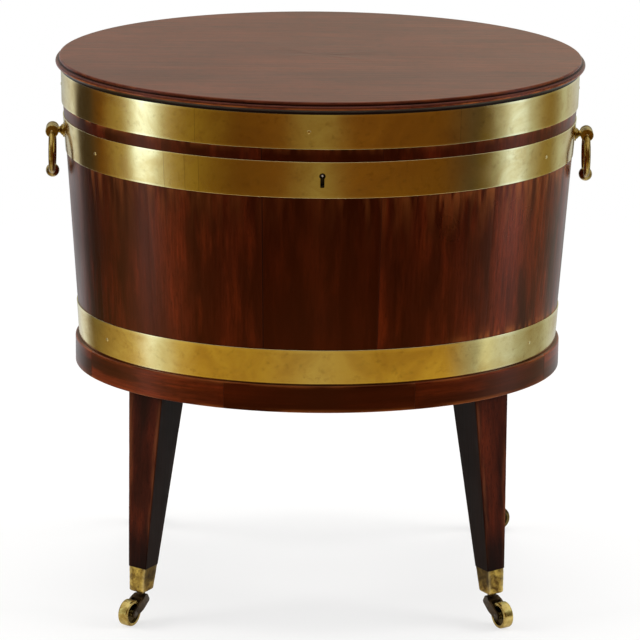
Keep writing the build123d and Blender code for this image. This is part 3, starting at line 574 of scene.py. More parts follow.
def rounded(corners: np.ndarray, radii: list[float], steps: int = 4, hold: float = 0.25) -> np.ndarray:
    """Rounds the corners of a closed outline.

    Each corner P becomes the curve (1-s)^2 A + 2s(1-s) P + s^2 B between points A and B on its
    two sides, with one more point a little further along each side that holds the flats.

    Args:
        corners: outline, one row of two numbers a corner.
        radii: how far each curve reaches along its sides.
        steps: pieces in each curve.
        hold: how far the holding points stand off the curves.

    Returns:
        The rounded outline.
    """
    corner = np.asarray(corners, float)
    before = np.roll(corner, 1, axis=0) - corner
    after = np.roll(corner, -1, axis=0) - corner
    before_length = np.linalg.norm(before, axis=1, keepdims=True)
    after_length = np.linalg.norm(after, axis=1, keepdims=True)
    room = CURVE_SHARE * np.minimum(before_length, after_length)
    reach = np.minimum(np.asarray(radii, float)[:, None], room)
    off = np.minimum(reach + hold, 1.1 * room)
    first = corner + before / before_length * reach
    last = corner + after / after_length * reach
    share = np.linspace(0.0, 1.0, steps + 1)[None, :, None]
    curve = (
        (1 - share) ** 2 * first[:, None]
        + 2 * share * (1 - share) * corner[:, None]
        + share**2 * last[:, None]
    )
    start = (corner + before / before_length * off)[:, None]
    end = (corner + after / after_length * off)[:, None]
    outline = np.concatenate([start, curve, end], axis=1).reshape(-1, 2)
    apart = np.linalg.norm(outline - np.roll(outline, 1, axis=0), axis=1) > 1e-4
    return outline[apart]


def divided(outline: np.ndarray, spacing: float) -> np.ndarray:
    """Adds points to the long sides of a closed outline and keeps its own.

    Args:
        outline: rows of two numbers.
        spacing: longest side that is left whole.

    Returns:
        The outline with more points.
    """
    path = np.vstack([outline, outline[:1]])
    reached = np.concatenate([[0.0], np.cumsum(np.linalg.norm(np.diff(path, axis=0), axis=1))])
    extra = np.arange(spacing, reached[-1], spacing)
    near = np.abs(extra[:, None] - reached[None, :]).min(axis=1) < TOO_NEAR * spacing
    places = np.sort(np.concatenate([reached, extra[~near]]))
    dense = np.stack([np.interp(places, reached, path[:, axis]) for axis in range(path.shape[1])], 1)
    return dense[:-1]


def near_corners(
    outline: np.ndarray, corners: np.ndarray | list[tuple[float, float]], width: float,
) -> np.ndarray:
    """How close each point of an outline is to a corner: 1 at a corner, fading out over a width.

    Args:
        outline: rows of two numbers.
        corners: the corners that wear.
        width: distance over which the wear fades.

    Returns:
        One number a point.
    """
    gaps = np.linalg.norm(outline[:, None] - np.asarray(corners, float)[None], axis=2).min(axis=1)
    return np.exp(-((gaps / width) ** 2))


def ripple(first: np.ndarray, second: np.ndarray, height: float, seed: int) -> np.ndarray:
    """Slow random waves over a surface, as a sum of six sines with seeded directions.

    Args:
        first: first parameter, in whatever unit gives waves a few units long.
        second: second parameter.
        height: about the largest rise.
        seed: picks the waves.

    Returns:
        Heights, shaped as the parameters together.
    """
    draw = np.random.default_rng(seed)
    turns = draw.uniform(0.5, 2.2, (6, 2)) * draw.choice([-1.0, 1.0], (6, 2))
    phases = draw.uniform(0.0, 2 * math.pi, 6)[:, None, None]
    waves = np.sin(turns[:, 0, None, None] * first + turns[:, 1, None, None] * second + phases)
    return height * waves.mean(axis=0) * WAVE_GAIN


def surface(
    name: str, points: np.ndarray, closed_rows: bool = False, capped: bool = False,
    marks: dict[str, np.ndarray | float] | None = None, row_material: np.ndarray | None = None,
) -> Object:
    """Turns a grid of points, whose columns run round, into a closed smooth piece.

    Args:
        name: the piece's name.
        points: rows by columns by three, in millimetres.
        closed_rows: whether the last row joins the first.
        capped: whether each end is closed by a fan to its middle.
        marks: numbers that spread over the points, kept as attributes that materials read.
        row_material: material index of the faces after each row, where the ends aren't capped.

    Returns:
        The piece.
    """
    marks = {key: np.broadcast_to(value, points.shape[:2]) for key, value in (marks or {}).items()}
    if capped:
        ends = [np.repeat(points[[row]].mean(axis=1, keepdims=True), points.shape[1], 1) for row in (0, -1)]
        points = np.concatenate([ends[0], points, ends[1]])
        marks = {key: np.pad(value, ((1, 1), (0, 0)), mode="edge") for key, value in marks.items()}
    rows, columns = points.shape[:2]
    row = np.arange(rows if closed_rows else rows - 1)[:, None]
    column_number = np.arange(columns)[None, :]
    next_row = (row + 1) % rows
    next_column = (column_number + 1) % columns
    faces = np.stack(
        [
            row * columns + column_number, row * columns + next_column,
            next_row * columns + next_column, next_row * columns + column_number,
        ],
        axis=-1,
    ).reshape(-1, 4)
    mesh = bpy.data.meshes.new(name)
    mesh.from_pydata((points.reshape(-1, 3) * MM).tolist(), [], faces.tolist())
    for key, value in marks.items():
        layer = mesh.attributes.new(key, "FLOAT", "POINT")
        layer.data.foreach_set("value", value.astype(np.float32).ravel())
    if row_material is not None:
        index = np.repeat(row_material, columns).astype(np.int32)
        mesh.polygons.foreach_set("material_index", index)
    return finished(mesh)


def in_scene(name: str, data: bpy.types.ID) -> Object:
    """Puts a mesh, a camera or a lamp into the scene.

    Args:
        name: the new object's name.
        data: what it holds.

    Returns:
        The new object.
    """
    piece = bpy.data.objects.new(name, data)
    bpy.context.scene.collection.objects.link(piece)
    return piece


def finished(mesh: bpy.types.Mesh) -> Object:
    """Merges a mesh's doubles, turns its faces outwards and shades it.

    Args:
        mesh: mesh in metres.

    Returns:
        A new object that holds the mesh.
    """
    shape = bmesh.new()
    shape.from_mesh(mesh)
    bmesh.ops.remove_doubles(shape, verts=shape.verts, dist=MERGE_DISTANCE)
    bmesh.ops.dissolve_degenerate(shape, dist=1e-7, edges=shape.edges)
    bmesh.ops.recalc_face_normals(shape, faces=shape.faces)
    shape.to_mesh(mesh)
    shape.free()
    mesh.polygons.foreach_set("use_smooth", np.ones(len(mesh.polygons), dtype=bool))
    mesh.set_sharp_from_angle(angle=math.radians(SHARP_ANGLE))
    return in_scene(mesh.name, mesh)


def joined(name: str, parts: list[Object]) -> Object:
    """Joins pieces into one object.

    Args:
        name: the joined piece's name.
        parts: pieces at the origin, which are used up.

    Returns:
        The joined piece.
    """
    shape = bmesh.new()
    for part in parts:
        shape.from_mesh(part.data)
    mesh = bpy.data.meshes.new(name)
    shape.to_mesh(mesh)
    shape.free()
    for part in parts:
        bpy.data.objects.remove(part)
    return in_scene(name, mesh)


def cut(piece: Object, cutters: list[Object]) -> None:
    """Takes cutters out of a piece and throws them away.

    Args:
        piece: closed piece that is cut.
        cutters: closed shapes.
    """
    for cutter in cutters:
        modifier = piece.modifiers.new("cut", "BOOLEAN")
        modifier.operation = "DIFFERENCE"
        modifier.solver = "EXACT"
        modifier.object = cutter
    graph = bpy.context.evaluated_depsgraph_get()
    mesh = bpy.data.meshes.new_from_object(piece.evaluated_get(graph))
    piece.modifiers.clear()
    mesh.set_sharp_from_angle(angle=math.radians(SHARP_ANGLE))
    piece.data = mesh
    for cutter in cutters:
        bpy.data.objects.remove(cutter)


def turned(
    outline: np.ndarray, origin: tuple[float, float, float], axis: tuple[float, float, float],
    columns: int = 48,
) -> np.ndarray:
    """Surface turned on a lathe: origin + t axis + r (cos c U + sin c V).

    Args:
        outline: rows of distance along the axis and radius.
        origin: point on the axis, in millimetres.
        axis: direction of the axis.
        columns: points round the axis.

    Returns:
        Grid of points, rows by columns by three.
    """
    along = np.asarray(axis, float) / np.linalg.norm(axis)
    helper = np.array([0.0, 0.0, 1.0]) if abs(along[2]) < 0.9 else np.array([1.0, 0.0, 0.0])
    first = np.cross(helper, along)
    first /= np.linalg.norm(first)
    second = np.cross(along, first)
    angle = np.linspace(0.0, 2 * math.pi, columns, endpoint=False)[None, :, None]
    ring = np.cos(angle) * first + np.sin(angle) * second
    return np.asarray(origin, float) + outline[:, 0, None, None] * along + outline[:, 1, None, None] * ring


def oval_columns(
    joints: list[float], spacing: float = 1.5, groove: float = 0.08,
) -> tuple[np.ndarray, np.ndarray, np.ndarray]:
    """Angles round the oval, with a narrow groove's three columns at every joint.

    Args:
        joints: angles of the joints in degrees, rising, less than a turn apart.
        spacing: widest step between two columns, in degrees.
        groove: half the groove's width, in degrees.

    Returns:
        The angles in radians, 1 at joints and 0 elsewhere, and each column's piece number.
    """
    angles, marks, pieces = [], [], []
    for number, (start, end) in enumerate(zip(joints, joints[1:] + [joints[0] + 360.0])):
        count = max(2, math.ceil((end - start) / spacing))
        inner = np.linspace(start + groove, end - groove, count)
        angles += [start, *inner]
        marks += [1.0] + [0.0] * count
        pieces += [number] * (count + 1)
    return np.radians(angles), np.array(marks), np.array(pieces)


def oval_grid(
    half_width: np.ndarray, half_depth: np.ndarray, level: np.ndarray, angle: np.ndarray,
) -> np.ndarray:
    """Stack of ovals: (a sin c, -b cos c, z).

    Args:
        half_width: a, for each row or each point.
        half_depth: b, in the same shape.
        level: z, in the same shape.
        angle: c, for each column.

    Returns:
        Grid of points, rows by columns by three.
    """
    shape = (len(level), len(angle))
    across = np.broadcast_to(half_width, shape) * np.sin(angle)
    deep = -np.broadcast_to(half_depth, shape) * np.cos(angle)
    return np.stack([across, deep, np.broadcast_to(level, shape)], axis=-1)


def column(values: np.ndarray) -> np.ndarray:
    """Values for rows, shaped so that they spread over columns."""
    return np.asarray(values, float)[:, None]


def arc(
    middle: tuple[float, float], radii: tuple[float, float], start: float, end: float, count: int,
) -> np.ndarray:
    """Points on the arc of an ellipse: middle + (A cos t, B sin t).

    Args:
        middle: the ellipse's middle.
        radii: A and B.
        start: first t, in degrees.
        end: last t, in degrees.
        count: number of points.

    Returns:
        Rows of two numbers.
    """
    turn = np.radians(np.linspace(start, end, count))
    return np.stack([middle[0] + radii[0] * np.cos(turn), middle[1] + radii[1] * np.sin(turn)], 1)


def prism(name: str, outline: np.ndarray, ends: tuple[float, float], axis: int) -> Object:
    """Carries an outline straight along an axis, as a closed cutter.

    Args:
        name: the piece's name.
        outline: rows of the two other coordinates.
        ends: where the prism starts and ends.
        axis: 1 for Y, 2 for Z.

    Returns:
        The prism.
    """
    return surface(name, np.stack([np.insert(outline, axis, end, axis=1) for end in ends]), capped=True)


def refined(node: str, name: str, edge: float, segments: int = 2) -> Object:
    """Copy of a CAD node with its triangles merged and its edges rounded.

    Args:
        node: the CAD node.
        name: the new piece's name.
        edge: width of the rounding, in millimetres.
        segments: pieces in each rounding.

    Returns:
        The piece.
    """
    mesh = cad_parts[node].data.copy()
    mesh.name = name
    mesh.materials.clear()
    for layer in ("custom_normal", "sharp_edge", "sharp_face"):
        if layer in mesh.attributes:
            mesh.attributes.remove(mesh.attributes[layer])
    shape = bmesh.new()
    shape.from_mesh(mesh)
    bmesh.ops.remove_doubles(shape, verts=shape.verts, dist=MERGE_DISTANCE)
    bmesh.ops.dissolve_limit(shape, angle_limit=math.radians(0.8), verts=shape.verts, edges=shape.edges)
    shape.to_mesh(mesh)
    shape.free()
    mesh.polygons.foreach_set("use_smooth", np.ones(len(mesh.polygons), dtype=bool))
    piece = in_scene(name, mesh)
    rounding = piece.modifiers.new("rounding", "BEVEL")
    rounding.width = edge * MM
    rounding.segments = segments
    rounding.limit_method = "ANGLE"
    rounding.angle_limit = math.radians(ROUNDING_ANGLE)
    rounding.harden_normals = True
    return piece


def dress(piece: Object, *finishes: Finish) -> Object:
    """Gives a piece its materials, in the order of its material indices.

    Args:
        piece: the piece.
        finishes: its finishes.

    Returns:
        The same piece.
    """
    piece.data.materials.clear()
    for finish in finishes:
        piece.data.materials.append(material_of(finish))
    return piece


def place(piece: Object, body: str, slot: str, *nodes: str) -> None:
    """Says which body a piece rides on and which nodes it stands for.

    Args:
        piece: the new piece.
        body: body that carries it.
        slot: the record's material slot; not used.
        nodes: CAD nodes that it replaces.
    """
    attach(piece, body)
    if nodes:
        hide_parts(*nodes)
    log.info("%s: %d faces on %s", piece.name, len(piece.data.polygons), body)


# Oval parts


# Half width at the top, level of the top, and how much narrower each millimetre down
WALL_TOP_HALF = 321.0
WALL_TOP = 630.2
WALL_LEAN = 0.0655
RIM_TOP_HALF = 322.3
RIM_TOP = 674.5
RIM_LEAN = 0.018


def wall_half_width(level: np.ndarray) -> np.ndarray:
    """Half width of the leaning tub at a level."""
    return WALL_TOP_HALF - WALL_LEAN * (WALL_TOP - np.asarray(level, float))


def lid_half_width(level: np.ndarray) -> np.ndarray:
    """Half width of the lid's rim at a level."""
    return RIM_TOP_HALF - RIM_LEAN * (RIM_TOP - np.asarray(level, float))


def all_round(angles: list[float]) -> list[float]:
    """The same joints in all four quarters, rising from -180 degrees."""
    quarter = angles + [180 - angle for angle in angles]
    return sorted(quarter + [-angle for angle in quarter])


STAVE_JOINTS = all_round([13.2, 42.0, 61.5, 80.5])
FRAME_JOINTS = all_round([22.5, 67.5])
# From the back round by the left, the front and the right
STAVE_TONES = (0.5, 0.7, 0.4, 0.6, 0.3, 0.35, 0.65, 0.0, 0.4, 0.7, 0.95, 0.8, 0.5, 0.7, 0.4, 0.6)
RIM_TONES = (0.4, 0.7, 0.5, 0.9, 0.3, 0.6, 0.8)
FRAME_TONES = (0.5, 0.7, 1.0, 0.0, 0.45, 0.7, 0.5, 0.6)


def piece_tones(pieces: np.ndarray, tones: tuple[float, ...]) -> np.ndarray:
    """Spreads one tone a stave, from 0 for dark to 1 for light, to the columns.

    Args:
        pieces: piece number of each column.
        tones: tones of the pieces, used over again when there are fewer.

    Returns:
        One tone a column.
    """
    return np.resize(np.asarray(tones), pieces.max() + 1)[pieces]


@dataclass
class OvalBand:
    """One flat brass hoop, joined at the back and rounded over at its edges."""

    name: str
    node: str
    body: str
    foot: float
    top: float
    on_lid: bool = False
    thickness: float = BAND_THICKNESS
    sunk: float = 0.4
    edge_radius: float = 0.45
    seed: int = 1
    scores: tuple[float, ...] = ()

    def build(self) -> Object:
        """Sweeps the hoop's section round the oval, with slow waves left by hammer and use.

        Returns:
            The hoop.
        """
        outer = np.array([(self.thickness, self.foot), (self.thickness, self.top)])
        corners = np.vstack([outer, [(-self.sunk, self.top), (-self.sunk, self.foot)]])
        outline = divided(rounded(corners, [self.edge_radius, self.edge_radius, 0.1, 0.1]), spacing=4.0)
        angle, line, _ = oval_columns([-180.0, *self.scores], spacing=1.25, groove=0.07)
        joint = line * (angle < -3.0)
        offset, level = column(outline[:, 0]), column(outline[:, 1])
        outside = np.clip(offset / self.thickness, 0.0, 1.0)
        waves = sum(
            ripple(angle[None] * across, level / up, height=height, seed=self.seed + step)
            for across, up, height, step in BAND_WAVES
        )
        drift = ripple(angle[None] * 6.0, 0 * level, height=0.18, seed=self.seed + 3)
        half = (lid_half_width if self.on_lid else wall_half_width)(level)
        half = half + offset + (waves - 0.5 * joint) * outside
        points = oval_grid(half, half - OVAL_DIFFERENCE, level + drift, angle)
        edge = column(near_corners(outline, outer, width=1.2))
        marks = {"edge": edge, "grime": 0.55 * line + 0.45 * joint}
        return surface(self.name, points, closed_rows=True, marks=marks)

    def make(self, cutters: list[Object] | None = None) -> None:
        """Builds, cuts, dresses and places the hoop.

        Args:
            cutters: shapes that are taken out of it.
        """
        piece = self.build()
        if cutters:
            cut(piece, cutters)
        place(dress(piece, BAND_BRASS), self.body, "old_brass", self.node)


@dataclass
class BandPins:
    """Round-headed brass pins, hammered into the bands' middles."""

    name: str
    node: str
    body: str
    spots: list[tuple[float, float]]
    on_lid: bool = False
    head_radius: float = 2.2
    head_height: float = 0.6

    def build(self) -> Object:
        """Turns one domed head a pin.

        Returns:
            The heads, as one piece.
        """
        dome = arc((0.0, 0.0), (self.head_height, self.head_radius), start=90.0, end=0.0, count=7)[:-1]
        outline = np.vstack([[(-3.0, 1.0), (-1.0, 1.0), (-1.0, self.head_radius)], dome])
        parts = []
        for number, (degrees, level) in enumerate(self.spots):
            half = float((lid_half_width if self.on_lid else wall_half_width)(level)) + BAND_THICKNESS
            deep = half - OVAL_DIFFERENCE
            turn = math.radians(degrees)
            spot = (half * math.sin(turn), -deep * math.cos(turn), level)
            axis = (deep * math.sin(turn), -half * math.cos(turn), 0.0)
            head = turned(outline, spot, axis, columns=24)
            parts.append(surface(f"{self.name}_{number}", head, capped=True))
        return joined(self.name, parts)

    def make(self) -> None:
        """Builds, dresses and places the pins."""
        place(dress(self.build(), CAST_BRASS), self.body, "old_brass", self.node)


# Half widths and levels of the lid's moulding where it is rubbed, where a painted highlight runs along the
# bead, and where dirt and painted shade lie in the hollows
LID_ARRIS = [(325.6, 689.4)]
LID_BEAD_HIGHLIGHT = [(330.0, 682.0)]
LID_SHADED_HOLLOWS = [(325.9, 685.8), (324.2, 675.2), (324.8, 677.0), (326.2, 679.0)]
# Levels up the moulding and how dark it is there: painted shade in the fillet and cove under the bead, and a
# darker edge above it
LID_SHADE_AND_DARKENING = ([674.0, 680.4, 681.4, 682.2, 683.2, 689.5, 690.0], [1.0, 1.0, 0.3, 0.0, 0.45, 0.4, 0.0])


@dataclass
class Lid:
    """The lid: moulded board, coopered rim, brass band and its pins."""

    top: float = 690.0
    moulding_from: float = 323.0
    rim_foot: float = 630.9
    rim_top: float = 674.4
    wall: float = 18.0
    joint_depth: float = 0.35
    band_foot: float = 631.0
    band_top: float = 674.3

    def board_outline(self) -> np.ndarray:
        """Edge moulding from the underside up: fillet, cove, bead, quirk and rounded top.

        Returns:
            Rows of half width and level.
        """
        fillet = [(323.4, 674.5), (324.0, 674.6), (324.2, 674.9), (324.2, 675.6)]
        cove_level = 675.8 + 4.2 * np.sin(np.radians(np.linspace(0.0, 62.0, 7)))
        cove_half = np.interp(cove_level, cove_level[[0, -1]], [324.2, 327.0])
        cove_half -= 0.72 * np.sin(np.linspace(0.0, math.pi, 7))
        bead = arc((327.1, 682.5), (2.9, 2.9), start=-88.0, end=84.0, count=11)
        quirk = [(326.3, 685.2), (325.8, 685.5), (325.8, 686.2)]
        top = arc((323.8, 688.0), (2.0, 2.0), start=0.0, end=90.0, count=7)
        return np.vstack([fillet, np.stack([cove_half, cove_level], 1), bead, quirk, top])

    def board(self) -> Object:
        """Board closed above and below by ovals that shrink to the middle: a = sA, b = sB.

        Returns:
            The board.
        """
        edge = self.board_outline()
        shares = np.array([0.02, 0.15, 0.3, 0.45, 0.6, 0.75, 0.86, 0.93, 0.97, 0.99])
        scale = np.concatenate([shares, np.ones(len(edge)), shares[::-1]])
        outline = np.pad(edge, ((len(shares), len(shares)), (0, 0)), mode="edge")
        level = outline[:, 1]
        half = outline[:, 0] * scale
        deep = (outline[:, 0] - OVAL_DIFFERENCE) * scale
        angle = np.radians(np.arange(-180.0, 180.0, 1.2))
        wave = ripple(angle[None] * 3.0, column(half) / 60.0, height=0.12, seed=5)
        on_top = column(level > self.top - 0.01)
        points = oval_grid(column(half), column(deep), column(level) - np.abs(wave) * on_top, angle)
        profile = np.stack([half, level], 1)
        rubbed = 0.35 * near_corners(profile, LID_ARRIS, width=1.5)
        # The bead's pale line is a painted highlight, laid in as bare wood
        worn = np.maximum(rubbed, near_corners(profile, LID_BEAD_HIGHLIGHT, width=0.8))
        # Painted shade in the cove, fillet and quirk, with some dirt, and a darker edge above the bead
        darkening = (half > self.moulding_from) * np.interp(level, *LID_SHADE_AND_DARKENING)
        dark = np.maximum(near_corners(profile, LID_SHADED_HOLLOWS, width=1.4), darkening)
        marks = {"edge": column(worn), "tone": 0.55, "grime": column(dark) * 0.97}
        return surface("lid_board", points, capped=True, marks=marks)

    def rim(self) -> Object:
        """Coopered rim: its section swept round the oval, with a fine groove at every joint.

        Returns:
            The rim.
        """
        corners = np.array([
            (0.0, self.rim_foot), (0.0, self.rim_top), (-self.wall, self.rim_top),
            (-self.wall, self.rim_foot),
        ])
        outline = divided(rounded(corners, [0.5, 0.2, 0.2, 0.7]), spacing=12.0)
        angle, joint, pieces = oval_columns(STAVE_JOINTS)
        offset, level = column(outline[:, 0]), column(outline[:, 1])
        side = np.where(offset < -self.wall / 2, -1.0, 1.0)
        half = lid_half_width(level) + offset - self.joint_depth * joint * side
        points = oval_grid(half, half - OVAL_DIFFERENCE, level, angle)
        marks = {
            "tone": piece_tones(pieces, RIM_TONES), "grime": 0.8 * joint,
            "edge": column(near_corners(outline, corners[[0, 3]], width=1.0)) * 0.5,
        }
        return surface("lid_rim_staves", points, closed_rows=True, marks=marks)

    def make(self) -> None:
        """Builds, dresses and places the lid's wood, band and pins."""
        place(dress(self.board(), LID_WOOD), "lid", "polished_mahogany", "lid_top")
        place(dress(self.rim(), PLAIN_WOOD), "lid", "polished_mahogany", "lid_rim")
        OvalBand(
            "lid_band_brass", "lid_band", "lid", self.band_foot, self.band_top, on_lid=True, seed=3,
            scores=(-28.5, 31.0),
        ).make()
        level = (self.band_foot + self.band_top) / 2
        spots = [(angle, level) for angle in (-3.0, 88.0, 177.0, 183.0, 272.0)]
        BandPins("lid_band_pin_heads", "lid_band_pins", "lid", spots, on_lid=True).make()


@dataclass
class Tub:
    """The tub: leaning coopered staves with the lock's pocket, two bands, lining and floor."""

    foot: float = 319.0
    rim: float = 630.1
    wall: float = 18.0
    lining_foot: float = 345.0
    lining_top: float = 566.0
    lining_inset: float = 15.4
    lining_floor: float = 347.5
    lining_bend: float = 4.0
    drain_hole: float = 8.1
    keyhole_round: float = 3.9
    keyhole_round_level: float = 597.15
    keyhole_slot: float = 5.0
    keyhole_foot: float = 582.55
    keyhole_corner: float = 0.7
    band: tuple[float, float] = (568.9, 614.7)
    low_band: tuple[float, float] = (327.3, 372.3)
    faded_from: float = 570.0
    joint_depth: float = 0.12
    # Radians either side of the front's middle in which the joints have opened, how far the
    # others have, and how dirty the left one of the front and the rest are
    front_joints: float = 0.3
    back_opened: float = 0.2
    left_dirt: float = 0.95
    joint_dirt: float = 0.6

    def staves(self) -> Object:
        """Wall section swept round the leaning oval: outside polished, inside left plain.

        Returns:
            The wall, whose second material is the plain one.
        """
        corners = np.array([
            (0.0, self.foot), (0.0, self.rim), (-self.wall, self.rim), (-self.wall, self.lining_top),
            (-self.lining_inset, self.lining_top), (-self.lining_inset, self.lining_foot),
            (-self.wall, self.lining_foot), (-self.wall, self.foot),
        ])
        outline = divided(rounded(corners, [0.8, 0.7, 0.9, 0.2, 0.1, 0.1, 0.2, 0.8]), spacing=8.0)
        angle, joint, pieces = oval_columns(STAVE_JOINTS, groove=0.17)
        offset, level = column(outline[:, 0]), column(outline[:, 1])
        side = np.where(offset < -self.wall / 2, -1.0, 1.0)
        in_front = np.abs(angle) < self.front_joints
        opened = joint * np.where(in_front, 1.0, self.back_opened)
        darkening = joint * np.where(in_front & (angle < 0.0), self.left_dirt, self.joint_dirt * opened)
        half = wall_half_width(level) + offset - self.joint_depth * opened * side
        points = oval_grid(half, half - OVAL_DIFFERENCE, level, angle)
        worn = column(near_corners(outline, corners[[1, 2]], width=0.7)) * 0.9
        marks = {
            "tone": piece_tones(pieces, STAVE_TONES), "grime": darkening,
            "edge": np.maximum(worn, self.faded(level, angle)),
        }
        plain = ((outline[:, 0] < -0.6) | (outline[:, 1] < self.foot + 0.3)).astype(int)
        return surface("tub_staves", points, closed_rows=True, marks=marks, row_material=plain)

    def faded(self, level: np.ndarray, angle: np.ndarray) -> np.ndarray:
        """How far the polish has gone just under the middle band and just over the lower one.

        Under the band it is U(c) exp(-d / 24 mm), and over the other one L(c) exp(-d / 5 mm),
        where d is the distance from the band and U and L are largest on the right.

        Args:
            level: heights, one a row.
            angle: angles round the oval, one a column.

        Returns:
            One number a point.
        """
        degrees = np.degrees(angle)
        upper = np.interp(
            degrees, [-90, -60, -40, -5, 20, 45, 75, 95], [0.2, 0.5, 0.45, 0.1, 0.5, 0.9, 0.9, 0.2]
        )
        lower = np.interp(degrees, [25, 45, 75, 90], [0.0, 0.8, 0.8, 0.0])
        low_band_top = self.low_band[1]
        below = np.exp(-np.abs(self.faded_from - level) / 24.0) * (level < self.faded_from)
        above = np.exp(-np.abs(level - low_band_top) / 5.0) * (level > low_band_top - 2.0)
        return 0.6 * upper * below + lower * above

    def keyhole(self, name: str) -> Object:
        """A round above a slot that is narrower, carried along Y.

        Args:
            name: the cutter's name.

        Returns:
            The cutter.
        """
        radius, half, foot, corner = (
            self.keyhole_round, self.keyhole_slot / 2, self.keyhole_foot, self.keyhole_corner
        )
        round_part = arc((0.0, self.keyhole_round_level), (radius, radius), start=-50.0, end=230.0, count=21)
        slot = [
            (-half, foot + corner), (-half + corner, foot), (half - corner, foot), (half, foot + corner),
        ]
        return prism(name, np.vstack([round_part, slot]), ends=(-250.0, -216.0), axis=1)

    def lock_pocket(self) -> Object:
        """Box open to the inside of the wall: a rounded oblong carried straight up."""
        corners = np.array([(-30.0, -224.5), (30.0, -224.5), (30.0, -200.0), (-30.0, -200.0)])
        return prism("lock_pocket_cutter", rounded(corners, [0.3] * 4, steps=2), ends=(582.2, 628.3), axis=2)

    def lining(self) -> Object:
        """Lead tray: floor from the drain's hole out to the wall, a soft corner, sides, turned edge.

        On the floor a row is the oval a = h + s(A - h), b = h + s(B - h), where h is the hole's
        radius. On the sides it is the wall's own oval. Both faces carry the same slow dents.

        Returns:
            The tray.
        """
        hole, floor, bend, top = self.drain_hole, self.lining_floor, self.lining_bend, self.lining_top
        share = np.linspace(0.0, 1.0, 14)[:-1]
        floor_edge = float(wall_half_width(floor)) - self.wall - bend
        floor_half = hole + (floor_edge - hole) * share
        floor_deep = hole + (floor_edge - OVAL_DIFFERENCE - hole) * share
        corner = arc((floor_edge, floor + bend), (bend, bend), start=-90.0, end=0.0, count=6)
        side_level = np.linspace(356.0, top - 0.6, 16)
        sides = np.stack([wall_half_width(side_level) - self.wall, side_level], 1)
        back_level = np.array([top - 0.2, top - 0.2, 500.0, 420.0, self.lining_foot + 0.1])
        back_inset = self.lining_inset + np.array([2.0, 0.5, 0.1, 0.1, 0.1])
        back = np.stack([wall_half_width(back_level) - back_inset, back_level], 1)
        wall = np.vstack([corner, sides, back])
        half = np.concatenate([floor_half, wall[:, 0], [hole]])
        deep = np.concatenate([floor_deep, wall[:, 0] - OVAL_DIFFERENCE, [hole]])
        level = np.concatenate([np.full(len(share), floor), wall[:, 1], [self.lining_foot + 0.1]])
        angle = np.radians(np.arange(-180.0, 180.0, 2.0))
        inside = column(np.arange(len(level)) < len(share) + len(corner) + len(sides))
        reach = column(np.minimum(half, deep) > 30.0)
        dent = ripple(angle[None] * 11.0, column(level) / 16.0 + column(deep) / 20.0, height=0.35, seed=31)
        dented = np.abs(dent) * inside * reach
        upright = column(level > 352.0)
        points = oval_grid(
            column(half) - dented * upright, column(deep) - dented * upright,
            column(level) + dented * (1 - upright), angle,
        )
        return surface("lead_tray", points, closed_rows=True)

    def make(self) -> None:
        """Builds, dresses and places the tub's wood, lead and bands."""
        staves = self.staves()
        cut(staves, [self.keyhole("keyhole_in_wood"), self.lock_pocket()])
        place(dress(staves, STAVE_WOOD, PLAIN_WOOD), "cabinet", "polished_mahogany", "body_staves")
        place(dress(self.lining(), SHEET_LEAD), "cabinet", "sheet_lead", "lead_lining")
        OvalBand(
            "middle_band_brass", "middle_band", "cabinet", *self.band, seed=11,
            scores=(-36.8, -31.3, -27.8),
        ).make([self.keyhole("keyhole_in_band")])
        OvalBand("lower_band_brass", "lower_band", "cabinet", *self.low_band, seed=17).make()
        levels = (sum(self.band) / 2, sum(self.low_band) / 2)
        spots = [(angle, level) for level in levels for angle in (-60.0, 60.0, 176.5, 183.5)]
        BandPins("body_band_pin_heads", "body_band_pins", "cabinet", spots).make()


@dataclass
class BaseFrame:
    """Oval frame in eight pieces that carries the tub, its grain running round the oval."""

    half_width: float = 307.0
    inner: float = 245.0
    foot: float = 292.5
    top: float = 327.0
    seat: float = 319.0
    outside_from: float = 295.0
    joint_depth: float = 0.25

    def build(self) -> Object:
        """Frame section swept round the oval; along and across follow the fibres.

        Returns:
            The frame.
        """
        seat_half = float(wall_half_width(self.seat)) + 0.1
        corners = np.array([
            (self.half_width, self.foot), (self.half_width, self.top), (seat_half + 0.5, self.top),
            (seat_half, self.seat), (self.inner, self.seat), (self.inner, self.foot),
        ])
        outline = divided(rounded(corners, [1.0, 4.0, 0.3, 0.2, 0.6, 0.8], steps=6), spacing=6.0)
        angle, joint, pieces = oval_columns(FRAME_JOINTS, groove=0.06)
        half, level = column(outline[:, 0]), column(outline[:, 1])
        half = half - self.joint_depth * joint * (half > self.outside_from)
        points = oval_grid(half, half - OVAL_DIFFERENCE, level, angle)
        ring = points[0]
        steps = np.linalg.norm(np.diff(ring, axis=0, append=ring[:1]), axis=1)
        length = np.concatenate([[0.0], np.cumsum(steps)[:-1]]) * MM
        reached = np.concatenate([[0.0], np.cumsum(np.linalg.norm(np.diff(outline, axis=0), axis=1))]) * MM
        marks = {
            "along": length, "across": column(reached), "tone": piece_tones(pieces, FRAME_TONES),
            "grime": 0.5 * joint, "edge": column(near_corners(outline, corners[:2], width=2.0)) * 0.6,
        }
        return surface("base_frame_moulding", points, closed_rows=True, marks=marks)

    def make(self) -> None:
        """Builds, dresses and places the frame."""
        place(dress(self.build(), FRAME_WOOD), "cabinet", "polished_mahogany", "base_frame")


LEG_TONES = {
    Corner.FRONT_LEFT: 0.6, Corner.FRONT_RIGHT: 0.4, Corner.BACK_LEFT: 0.5, Corner.BACK_RIGHT: 0.7,
}
# Levels up the leg and how dark it is there: painted shade under the frame, and darker towards the foot
LEG_SHADE_AND_DARKENING = ([70.0, 100.0, 130.0, 235.0, 270.0, 292.0], [0.85, 0.7, 0.1, 0.0, 0.3, 0.6])
# The same for the faces of the cups that look inwards, where shade is painted
CUP_PAINTED_SHADE = ([45.0, 55.0], [0.2, 0.75])


